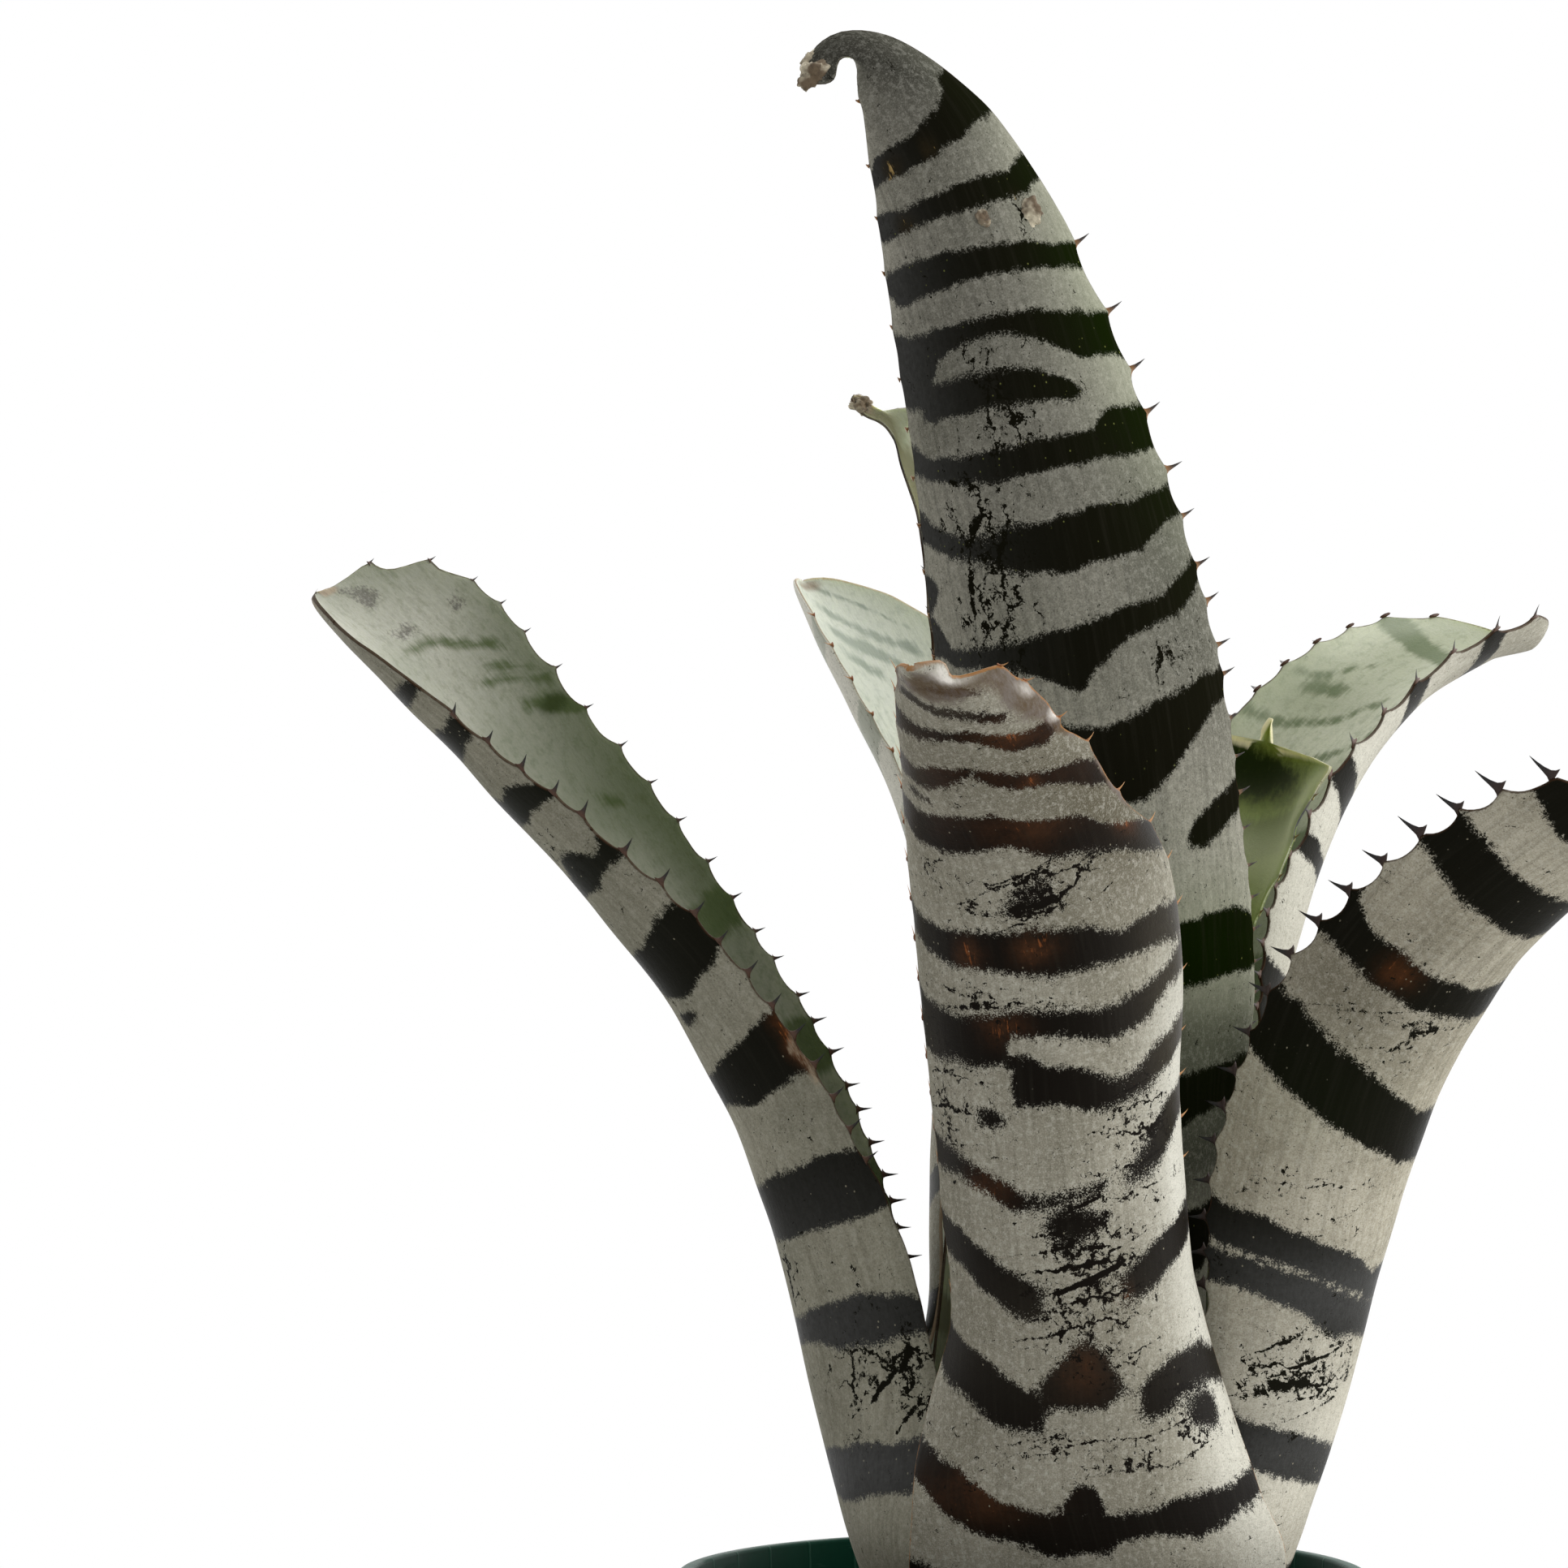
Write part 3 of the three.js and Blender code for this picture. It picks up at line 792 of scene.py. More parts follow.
def addKnobs(made, leaf, rib):  # dried ends
    for distance, across, wide, thick, tall, lift in leaf["knobs"]:
        station = rib.station(distance)
        middle = onSurface(station, across, lift) * mm
        turn = Matrix((station[3] * wide, station[2] * thick, station[1] * tall))
        turn = turn.transposed().to_4x4()
        place = Matrix.Translation(middle) @ turn @ Matrix.Scale(mm, 4)
        shape = bmesh.ops.create_icosphere(made, subdivisions=4, radius=1.0, matrix=place)
        for point in shape["verts"]:
            bulge = noise.fractal(point.co / mm * 0.45, 1.0, 2.0, 4)
            point.co += (point.co - middle) * bulge * 0.6
            for face in point.link_faces:
                face.smooth = True
                face.material_index = 3


def makeLeaf(leaf):
    rib = Midrib(leaf)
    places = {side: spinePlaces(rib, leaf["teeth"], side) for side in (-1, 1)}
    made = flatSheet(rib.length)
    bendSheet(made, leaf, rib, places)
    growSpines(made, leaf, rib, places)
    addKnobs(made, leaf, rib)
    name = leaf["piece"]
    look = dict(silverLook, **leaf["look"])
    outer = leafOuter(name + "Outer", look, leaf["seed"] * 7.3)
    inner = leafInner(name + "Inner", look, leaf["seed"] * 5.9)
    return placed(name, made, [outer, inner, horns[look["horn"]], husk], leaf["node"])


# What a leaf has where its own dictionary says nothing else. Distances run up the leaf from its
# foot, and places across it from -1 to 1.
# A row is x, y, z, half width, curl and twist. A band's knots are a place across and the band's
# lower and upper edge there. A blot is a place across, a distance, two half sizes and a strength.
# A cut back or flared place is a margin, a distance, an amount and a width. A knob is a distance,
# a place across, three half sizes and how far inwards it stands.
plainTeeth = {"shape": "plain", "seen": {}, "tuck": {}}
plainLeaf = {
    "slot": "silver_leaf",
    "bands": [],
    "innerBands": [],
    # A pale blot paints light where its strength is above nought and shade where it is below.
    "blots": {},
    "look": {},
    "cutBack": [],
    "flare": [],
    "knobs": [],
}

leafFront = {
    "piece": "frontLeaf",
    "node": "leaf_front",
    "seed": 3,
    "step": 0,
    "facing": 276,
    "wrap": 100,
    "tipStart": 0.76,
    "rows": [
        (14, -60, 162, 44, 94, 0), (13, -63, 178, 46, 146, 0), (12, -68, 195, 41, 160, 0),
        (10, -72, 212, 39, 165, 0), (7, -80, 245, 40, 165, 0), (3, -90, 281, 42, 170, -2),
        (-6, -106, 308, 36, 158, -12), (-16, -123, 326, 24, 124, -25),
        (-22, -138, 339, 21, 104, -34), (-29, -150, 347, 15, 92, -38),
    ],
    "teeth": {
        "from": 0.42,
        "spacing": (7, 12),
        "length": {-1: (2.6, 2.2), 1: (2.7, 1.8)},
        "lean": {-1: 0.4, 1: 0.0},
        "hollow": 1.2,
        "shape": "hooked",
        "tuck": {1: -0.7},
        "seen": {1: [285.5, 279.5, 262, 247.9, 233.3, 219, 209.1, 201, 190, 178, 168, 158, 149]},
    },
    "bands": [
        [(-1, 83, 92), (-0.95, 82, 90), (-0.75, 73.5, 87), (-0.5, 69, 79), (-0.25, 65, 76),
         (0, 66, 77), (0.1, 69, 75), (0.25, 70, 77), (0.5, 69, 79), (0.75, 73.5, 81), (1, 77, 84)],
        [(-0.17, 74, 78), (-0.08, 74, 83), (0.03, 74, 82), (0.07, 74, 76)],
        [(-1, 107, 119), (-0.95, 105, 118), (-0.75, 102, 114), (-0.5, 97, 109), (-0.3, 94, 104),
         (-0.22, 94.5, 102)],
        [(-0.27, 103, 107), (-0.2, 101, 110), (-0.1, 100.5, 115), (0, 100.5, 117.5),
         (0.1, 101.5, 114), (0.17, 104, 108)],
        [(0.25, 97, 103.5), (0.35, 96, 108), (0.5, 100, 110), (0.75, 101, 110.5), (0.9, 100, 108),
         (1, 99, 107)],
        [(0.52, 95, 100), (0.6, 93, 101), (0.72, 92, 101), (0.78, 94, 98)],
        [(-1, 135, 144), (-0.95, 134, 143), (-0.75, 132, 141), (-0.5, 125.5, 135.5),
         (-0.3, 121.5, 132), (-0.2, 123, 129.5)],
        [(0.22, 121, 130), (0.35, 123.5, 133), (0.5, 126.5, 136.5), (0.65, 129, 138.5),
         (0.8, 131, 140), (1, 133, 142)],
        [(-1, 155, 162), (-0.95, 154, 161), (-0.75, 153, 160.5), (-0.6, 152.5, 158),
         (-0.5, 151, 156.5), (-0.4, 148, 154), (-0.3, 146.5, 151.5), (-0.2, 147, 150.5),
         (-0.05, 148.5, 151), (0.1, 149.5, 152), (0.2, 151, 153)],
        [(0.3, 150.5, 153.5), (0.4, 150.5, 156.5), (0.5, 151.5, 160), (0.65, 155, 165),
         (0.75, 158, 167), (1, 161, 169)],
        [(-0.17, 141, 144), (-0.1, 139, 148), (0, 138.5, 149), (0.1, 140.5, 147), (0.18, 143, 145)],
        [(-0.28, 172, 176), (-0.24, 171, 185), (-0.1, 171, 181), (0, 170.5, 180),
         (0.15, 168.5, 178), (0.3, 168.5, 175), (0.45, 170, 177), (0.6, 172.5, 181),
         (0.7, 174, 181), (1, 177, 184)],
        [(-0.5, 167, 169), (-0.43, 166, 170.5), (-0.33, 167, 169)],
        [(-1, 181, 197), (-0.85, 180, 194), (-0.5, 180, 192), (-0.3, 181, 194), (-0.25, 187, 194.5),
         (0, 187.5, 193.5), (0.25, 184, 191.5), (0.5, 186, 193), (0.75, 190, 194.5), (1, 192, 197)],
        [(-1, 208, 215), (-0.9, 207, 214.5), (-0.75, 206, 213.5), (-0.5, 204.5, 214),
         (-0.25, 203.5, 214.5), (0, 201, 214), (0.25, 201, 210), (0.4, 200, 206),
         (0.5, 199.5, 205.5), (0.75, 198, 205), (1, 197, 203)],
        [(-0.2, 218, 219.5), (-0.05, 217, 224), (0.05, 216.5, 225), (0.12, 219, 226)],
        [(-1, 236, 244), (-0.75, 235, 244.5), (-0.5, 234.5, 245), (-0.25, 235, 246.5),
         (0, 236, 246.5), (0.1, 233, 243.5), (0.25, 228.5, 240), (0.5, 224.5, 236),
         (0.65, 221, 230), (0.75, 218, 228), (1, 212, 222)],
        [(-1, 252, 259), (-0.75, 252.5, 258.5), (-0.5, 253.5, 259.5), (-0.25, 256.5, 261),
         (0, 258, 261.5), (0.2, 252.5, 258.5), (0.35, 249.5, 255.5), (0.5, 247, 252.5),
         (0.75, 240.5, 248), (1, 236, 243)],
        [(-0.85, 248.5, 249), (-0.7, 248, 251.5), (-0.5, 249, 250)],
        [(-1, 266, 273), (-0.5, 268.5, 272.5), (-0.25, 269.5, 273.5), (0, 270, 273.8),
         (0.2, 269.5, 273.2), (0.35, 266, 271.5), (0.5, 261.5, 268.5), (0.75, 259, 266.5),
         (0.95, 260, 266)],
        [(-0.85, 280, 283), (-0.5, 280, 284), (0, 278.6, 282), (0.25, 277.5, 281), (0.5, 275, 278),
         (0.6, 273.5, 275.5)],
        [(-0.75, 287, 290), (0, 288, 290.5), (0.6, 284, 288)],
    ],
    "plainFrom": (18, 60),
    "blots": {
        "outer": {
            "wear": [
                (0.05, 131, 0.28, 20, 1.0), (0.45, 162, 0.2, 14, 0.8), (-0.7, 170, 0.22, 12, 0.7),
                (0.02, 221, 0.12, 5, 1.0), (0, 225, 0.7, 7, 0.45), (-0.3, 196, 0.5, 6, 0.4),
                (0.1, 91, 0.7, 6, 0.4), (0.6, 100, 0.2, 8, 0.5),
            ],
            # Painted sheen on the dark bands near both margins; the rest is bloom.
            "bloomAndSheen": [
                (0.85, 186, 0.35, 26, 0.65), (-0.95, 200, 0.25, 80, 0.25), (0.0, 118, 0.9, 16, 0.2),
                (0.75, 294, 0.25, 4, 1.0), (-0.1, 281, 0.9, 3, 0.5), (-0.7, 262, 0.4, 14, 0.3),
            ],
            "rust": [
                (-0.3, 190, 0.12, 4, 0.8), (-0.42, 208, 0.07, 4, 1.1), (-0.05, 209, 0.1, 4, 1.0),
                (-0.6, 80, 0.3, 6, 0.55), (-0.05, 110, 0.14, 6, 0.5), (-0.5, 152, 0.15, 5, 0.6),
                (0.1, 258, 1.3, 22, 0.25), (0.15, 240, 0.25, 6, 0.35), (0.85, 229, 0.12, 5, 1.4),
                (0.55, 268, 0.3, 5, 0.55), (1.0, 255, 0.1, 4, 1.2), (0.38, 251, 0.05, 2.5, 1.0),
                (0.2, 125, 0.06, 3, 1.2),
            ],
            "dry": [
                (0.1, 290, 1.0, 7, 0.75), (0.95, 276, 0.25, 9, 0.9), (1.0, 262, 0.1, 7, 0.9),
                (1.0, 236, 0.05, 12, 0.7), (-0.95, 285, 0.1, 8, 0.6),
            ],
            # Painted light on the right fold and on the dry tip's crumples; painted shade near the
            # top, on the upper right and a little on the left.
            "pale": [
                (0.85, 105, 0.3, 60, 0.8), (0.85, 178, 0.3, 22, 0.8), (0.9, 148, 0.25, 14, 1.0),
                (-0.1, 80, 0.6, 26, -0.25), (0, 262, 1.5, 20, -0.4), (0.75, 230, 0.6, 26, -1.1),
                (-0.75, 150, 0.3, 90, -0.25), (0.8, 292.5, 0.25, 3.5, 1.3),
                (0.93, 278, 0.08, 3, 0.7), (1.0, 265, 0.12, 3.5, 1.2),
            ],
        },
        "inner": {"dry": [(0.9, 285, 0.4, 14, 0.8)]},
    },
    "look": {
        "crackAcross": 0.05,
        "crackAlong": 0.17,
        "wrinkle": (0.25, 1.6),
        "flecks": 1.2,
        "ragged": 1.5,
        "horn": "amber",
        "margin": tint(152, 104, 54),
        "marginWide": 0.4,
        "dark": tint(18, 14, 9),
        "rust": tint(74, 46, 27),
        "ember": tint(132, 76, 40),
        "bloomAndSheen": tint(76, 71, 61),
        "dry": tint(86, 68, 48),
        "dryPale": tint(110, 100, 94),
        "gloss": 0.05,
    },
    "cutBack": [
        (1, 227, 3.6, 13), (1, 237, 5.0, 12), (1, 277, -3.0, 17), (1, 270.5, -1.6, 6),
        (1, 290.2, 4.2, 2.8), (1, 285.3, -1.2, 3), (1, 295.3, -1.0, 1.6),
    ],
    "flare": [(1, 200, 2.4, 20)],
}

leafTall = {
    "piece": "tallLeaf",
    "node": "leaf_tall",
    "seed": 1,
    "step": 4,
    "facing": 282,
    "wrap": 150,
    "tipStart": 0.95,
    "rows": [
        (20, -30, 200, 41, 170, 0), (20, -30, 250, 44, 165, -4), (18, -30, 300, 45, 150, -10),
        (11, -29, 352, 43, 145, -15), (1, -27, 400, 37, 145, -15), (-10, -24, 440, 30, 145, -15),
        (-21, -21, 468, 22, 145, -15), (-32, -17, 484, 14, 130, -15), (-42, -14, 490, 8, 110, -15),
        (-50, -12, 485, 5, 90, -15),
    ],
    "teeth": {
        "from": 0.34,
        "spacing": (6, 16),
        "length": {-1: (2.0, 1.2), 1: (2.8, 4.6)},
        "lean": 0.2,
        "hollow": {-1: 0.7, 1: 2.8},
        "tuck": {-1: 1.6, 1: -0.95},
        "seen": {
            1: [
                343.6, 327.4, 313.6, 303.4, 289.9, 278.8, 267.5, 259.3, 249.3, 242.6, 232.4, 224,
                216, 208, 200, 193, 186, 179, 172, 165, 158, 151, 144,
            ],
        },
    },
    "bands": [
        [(-1, 372, 378), (-0.75, 371.5, 379.5), (-0.25, 370.5, 378), (0, 370.5, 379),
         (0.25, 371.5, 380), (0.5, 374, 384), (0.75, 374, 387), (1, 376, 389)],
        [(-1, 359, 366), (-0.75, 357, 364.5), (-0.5, 357.5, 363), (0, 356, 363), (0.25, 356, 362.5),
         (0.5, 355.5, 362), (0.75, 357, 364), (1, 360, 366)],
        [(-1, 345, 351), (-0.75, 341, 351), (-0.5, 341, 350), (0, 340.5, 348), (0.25, 339.5, 346.5),
         (0.5, 338.5, 345), (0.75, 338, 344), (1, 338, 344)],
        [(-1, 318, 337), (-0.75, 316, 333.5), (-0.58, 320, 333), (-0.5, 325.5, 333),
         (-0.25, 327, 332), (0, 326.5, 331.5), (0.2, 324, 331), (0.35, 320, 330), (0.5, 317, 328.5),
         (0.75, 317.5, 327.5), (1, 316, 328)],
        [(-0.75, 313, 322), (-0.5, 311.5, 320.5), (-0.25, 310.5, 320), (0, 309.5, 319),
         (0.2, 309, 316.5), (0.35, 308, 313), (0.43, 309, 310.5)],
        [(-1, 302, 310), (-0.75, 299, 304.5), (-0.5, 295.5, 302), (-0.25, 294, 301.5),
         (0, 294, 301.5), (0.25, 293.5, 301), (0.42, 293.8, 302), (0.5, 294, 305),
         (0.75, 294, 305.5), (1, 295, 306)],
        [(-1, 286, 294), (-0.75, 281.5, 288), (-0.5, 277.5, 283.5), (-0.25, 272.5, 283.5),
         (0, 270, 283), (0.25, 271.5, 284), (0.5, 272, 284), (0.6, 275, 284.5), (0.75, 278, 285),
         (1, 279.5, 286)],
        [(-1, 268, 279), (-0.88, 270, 277), (-0.8, 273, 274)],
        [(-1, 258, 269), (-0.85, 257, 264), (-0.75, 254, 258), (-0.5, 252, 257.5),
         (-0.25, 249, 257.5), (-0.1, 245, 257.5), (0, 243, 258), (0.1, 247, 258.5),
         (0.25, 252, 260), (0.5, 256, 261.5), (0.75, 259, 266), (1, 264, 270)],
        [(-1, 232, 246), (-0.5, 226, 240), (-0.25, 222, 238), (0, 218, 235), (0.1, 216, 234),
         (0.25, 217, 236), (0.35, 220, 238), (0.5, 226, 240), (0.75, 234, 243), (1, 238, 245)],
        [(0.47, 206, 208), (0.55, 204.5, 212), (0.75, 208, 216), (0.9, 211, 219), (1, 213, 220)],
        [(-1, 204, 216), (-0.5, 200, 212), (-0.2, 203, 208)],
        [(-1, 176, 190), (-0.5, 172, 186), (0, 172, 186), (0.35, 174, 189), (0.5, 175, 190),
         (0.75, 177, 192), (1, 178, 190)],
        [(-1, 146, 158), (-0.5, 140, 153), (0, 140, 152), (0.35, 143, 155), (0.6, 146, 156),
         (1, 150, 160)],
        [(-1, 112, 126), (0, 108, 124), (0.5, 110, 124), (1, 114, 128)],
        [(-1, 84, 95), (0, 80, 92), (1, 84, 96)],
    ],
    "plainFrom": (20, 70),
    "blots": {
        "outer": {
            "wear": [
                (-0.4, 275, 0.22, 22, 0.8), (-0.1, 306, 0.12, 6, 0.7), (0.5, 247, 0.14, 5, 0.7),
                (0.5, 352, 0.07, 4, 0.9), (0.15, 354, 0.05, 3, 0.9), (-0.1, 320, 0.3, 12, 0.4),
            ],
            "rust": [
                (0.33, 387, 0.05, 3, 1.2), (0.5, 353, 0.06, 3, 0.9), (-0.55, 373, 0.14, 4, 0.9),
                (-0.55, 358, 0.12, 4, 0.8), (-0.05, 373, 0.06, 3, 0.9),
            ],
            # Painted sheen on the dark bands along the margin at -1.
            "bloomAndSheen": [(-0.95, 330, 0.5, 110, 0.6), (-0.95, 200, 0.5, 60, 0.4)],
            "green": [
                (0.9, 325, 0.5, 50, 0.8), (0.5, 182, 0.8, 18, 0.9), (0.5, 150, 0.8, 18, 0.25),
            ],
            "dry": [(0, 414.6, 1.2, 2, 0.9)],
            # Painted shade on the hooded tip, over the upper right and at the foot; a little
            # painted light along the margin at -1.
            "pale": [
                (0.45, 206, 0.5, 18, 0.15), (-0.95, 330, 0.15, 80, 0.25), (0.6, 398, 0.9, 24, -1.2),
                (-0.2, 411, 0.9, 9, -1.2), (-0.5, 386, 0.6, 12, -0.2), (0.1, 335, 1.4, 34, -0.45),
                (0.0, 290, 0.9, 26, -0.3), (0.8, 262, 0.5, 40, -0.8), (0.4, 150, 1.2, 24, -1.5),
            ],
        },
    },
    "look": {
        "crackAcross": 0.17,
        "crackAlong": 0.05,
        "silver": tint(158, 155, 143),
        "silverDeep": tint(134, 132, 120),
        "shadow": tint(62, 61, 55),
        "speck": tint(112, 116, 62),
        "ember": tint(176, 148, 96),
        "rust": tint(44, 37, 24),
        "horn": "russet",
        "flecks": 0.6,
        "gloss": 0.0,
    },
    "cutBack": [(-1, 402.5, 7.5, 6), (-1, 392, 4.5, 9), (-1, 372, 1.4, 14)],
    "flare": [(1, 165, 5.0, 34)],
    "knobs": [
        (413.2, 0.1, 2.4, 2.4, 3.8, 0), (411.5, 0.9, 1.7, 1.7, 2.6, 0),
        (351.5, 0.53, 2.8, 1.0, 3.4, -0.7), (353.5, 0.15, 1.4, 0.9, 1.8, -0.6),
    ],
}

leafLeft = {
    "piece": "leftLeaf",
    "node": "leaf_left",
    "seed": 2,
    "step": 1,
    "facing": 176,
    "wrap": 120,
    "tipStart": 0.86,
    "rows": [
        (-48, 6, 180, 44, 168, 8), (-55, 7, 210, 43, 190, 4), (-66, 7, 243, 40, 178, 0),
        (-83, 7, 274, 38, 158, -3), (-104, 8, 302, 37, 142, -11), (-123, 9, 324, 35, 136, -18),
        (-142, 10, 347, 35, 106, -23), (-153, 11, 358, 33, 92, -24), (-165, 11, 367, 26, 80, -24),
    ],
    "teeth": {
        "from": 0.3,
        "spacing": (4.5, 12.5),
        "length": {-1: (3.3, 1.2), 1: (3.2, 3.9)},
        "lean": {-1: -0.35, 1: 0.15},
        "hollow": 1.5,
        "seen": {
            1: [
                271.9, 262.3, 252.4, 243.1, 235.3, 223.1, 212.7, 203, 195.5, 187, 178.5, 171, 163.6,
                156, 149, 142,
            ],
            -1: [
                311.8, 303.3, 295.7, 288.3, 280.1, 269, 256.7, 243.9, 233.5, 223.1, 211.6, 201.9,
                193.3, 185.9, 176.3, 169.9, 162.5, 155.1, 149.8, 142.4, 135, 129, 123, 117,
            ],
        },
    },
    "bands": [
        [(-1, 72, 84), (0, 69, 80), (0.3, 68, 80), (0.5, 70, 82), (0.75, 72, 82), (1, 74, 84)],
        [(-1, 104, 116), (-0.5, 106, 116), (0, 104, 111), (0.25, 105, 111.5), (0.5, 102.5, 113.5),
         (0.75, 103, 114), (1, 104, 112)],
        [(-1, 130, 142), (-0.5, 127, 140), (0, 129, 142), (0.25, 129, 143.5), (0.5, 130, 145),
         (0.75, 130, 146), (1, 131, 145)],
        [(-1, 160, 174), (-0.5, 158, 172), (0, 162, 171), (0.25, 163, 171), (0.5, 161, 174),
         (0.75, 162, 175.5), (1, 163, 178)],
        [(-1, 196, 208), (-0.5, 192, 204), (0, 195, 201), (0.15, 195, 203), (0.25, 191.5, 204),
         (0.5, 189, 204), (0.75, 191, 207), (1, 194, 208)],
        [(-1, 226, 236), (-0.4, 222, 234), (0, 223, 229), (0.4, 221, 227), (0.5, 220.5, 231.5),
         (0.65, 220, 232), (0.75, 222, 229.5), (0.85, 222.5, 226.5), (1, 222.5, 230)],
        [(-1, 250, 260), (0, 246, 254), (0.5, 243, 251), (0.75, 243, 251.5), (1, 242, 248)],
        [(-1, 262, 271), (-0.5, 264, 272), (0, 266, 275), (0.6, 263, 272), (0.8, 265, 271),
         (1, 266, 272)],
        [(-1, 283, 290), (-0.6, 289, 294), (0, 290, 297), (0.6, 280, 285), (1, 281, 285)],
        [(0.28, 184, 187), (0.4, 183, 187), (0.5, 184.5, 186)],
    ],
    "plainFrom": (10, 30),
    "innerBands": [
        [(-1, 255.5, 261), (-0.85, 260, 265.5), (-0.66, 265.5, 268.5)],
        [(-0.93, 267, 268.5), (-0.73, 272, 274), (-0.5, 276, 277)],
        [(-0.9, 271.5, 273), (-0.77, 275, 277), (-0.6, 279, 280)],
        [(-0.8, 280.5, 282.5), (-0.6, 284.5, 287.5), (-0.42, 289.5, 292), (-0.1, 292.5, 294.5)],
        [(-0.78, 232.5, 235), (-0.66, 235.5, 238)],
        [(-1, 196, 206), (-0.3, 194, 204), (0.4, 195, 205), (1, 196, 206)],
        [(-1, 160, 172), (0, 158, 170), (1, 160, 172)],
        [(-1, 128, 140), (0, 126, 138), (1, 128, 140)],
    ],
    "blots": {
        "outer": {
            "wear": [(0.8, 96, 0.35, 10, 0.8), (0.2, 120, 0.1, 8, 0.6), (0.5, 232, 0.2, 7, 0.5)],
            "rust": [(1.0, 169, 0.06, 8, 1.2)],
            "bloomAndSheen": [(0.3, 240, 0.5, 40, 0.15), (0.4, 105, 0.8, 36, 0.6), (0.4, 76, 1.0, 9, 0.5)],
            # A slight painted shade over the upper part.
            "pale": [(0.4, 250, 1.5, 60, -0.2)],
            "dry": [(1, 166, 0.06, 6, 0.8), (0, 316, 1, 4, 0.7)],
            "green": [(0.4, 240, 0.8, 40, 0.25)],
        },
        # The broad green blot along the far margin and the negative pale blots are painted shade;
        # the pale blot near the tip is painted light.
        "inner": {
            "green": [(-0.86, 262.5, 0.13, 2.6, 1.0), (-0.95, 200, 0.2, 50, 0.3)],
            "wear": [
                (-0.45, 309, 0.2, 5, 1.0), (-0.23, 297, 0.2, 3, 0.7), (-0.75, 294.5, 0.1, 2.5, 0.8),
            ],
            "pale": [
                (0.1, 285, 0.4, 22, 0.15), (-0.95, 222, 0.35, 34, -0.75),
                (-0.3, 250, 0.5, 30, -0.15), (-0.95, 272, 0.3, 18, -0.4),
            ],
            "dry": [(-0.4, 317, 0.5, 3, 0.8)],
        },
    },
    "look": {
        "crackAcross": 0.1,
        "crackAlong": 0.09,
        "glow": 0.5,
        "silver": tint(153, 150, 134),
        "silverDeep": tint(131, 129, 114),
        "flecks": 0.5,
        "innerPale": tint(176, 175, 163),
        "innerDeep": tint(130, 134, 116),
        "innerGreen": tint(70, 84, 44),
    },
    "cutBack": [
        (-1, 315.5, 4.5, 2.6), (-1, 307.6, 2.2, 2.6), (-1, 311.9, -1.6, 1.3),
        (-1, 303.4, -1.4, 1.5),
    ],
}

leafRight = {
    "piece": "rightLeaf",
    "node": "leaf_right",
    "seed": 4,
    "step": 1,
    "facing": 342,
    "wrap": 120,
    "tipStart": 0.88,
    "rows": [
        (68, -10, 165, 40, 148, 0), (73, -13, 182, 42, 165, 0), (78, -21, 208, 45, 180, -8),
        (84, -33, 237, 48, 188, -18), (93, -49, 265, 46, 176, -25), (108, -67, 288, 42, 154, -26),
        (130, -87, 307, 38, 133, -26), (152, -106, 318, 30, 116, -25),
    ],
    "teeth": {
        "from": 0.35,
        "spacing": (7, 11),
        "length": (4.6, 6.0),
        "lean": {-1: -0.55, 1: -0.3},
        "hollow": 2.4,
    },
    "bands": [
        [(-1, 203, 216), (-0.8, 203, 211), (-0.5, 200, 210), (0, 196, 206), (1, 192, 204)],
        [(-1, 176, 190), (-0.75, 172, 188), (-0.5, 167, 184), (-0.3, 163, 179), (0, 156, 170),
         (0.5, 148, 162), (1, 146, 160)],
        [(-1, 133, 143), (-0.75, 132.5, 142.5), (-0.5, 130.5, 140), (-0.25, 126, 135),
         (0, 120, 128), (0.5, 116, 126), (1, 114, 124)],
        [(-1, 123.5, 132), (-0.75, 124, 131.8), (-0.5, 120.5, 129.8), (-0.25, 112.5, 125),
         (-0.05, 112, 121), (0.5, 104, 114), (1, 104, 112)],
        [(-1, 88, 97), (-0.75, 80, 92), (-0.5, 76.5, 90), (-0.25, 75, 86), (0, 74, 84),
         (0.5, 72, 82), (1, 72, 82)],
        [(-1, 232, 244), (0, 224, 238), (1, 222, 236)],
        [(-1, 258, 268), (0, 252, 262), (1, 250, 260)],
    ],
    "plainFrom": (18, 60),
    "blots": {
        "outer": {
            "wear": [
                (-0.45, 105, 0.35, 9, 0.9), (-0.3, 190, 0.3, 8, 0.4), (-0.4, 150, 0.3, 6, 0.3),
            ],
            "rust": [(-0.5, 206, 0.1, 4, 0.6)],
            # Painted light low down, and painted shade higher up near the margin at -1.
            "pale": [(-0.4, 85, 0.9, 40, 0.45), (-0.7, 196, 0.5, 14, -0.6)],
            "green": [(-0.6, 172, 0.4, 14, 0.3)],
            "bloomAndSheen": [(-0.3, 124, 0.9, 14, 0.6), (-0.5, 84, 0.9, 10, 0.6)],
        },
    },
    "look": {
        "crackAcross": 0.06,
        "crackAlong": 0.16,
        "wrinkle": (0.3, 1.4),
        "horn": "black",
        "silver": tint(184, 178, 160),
        "silverDeep": tint(152, 146, 128),
        "ragged": 1.4,
    },
}

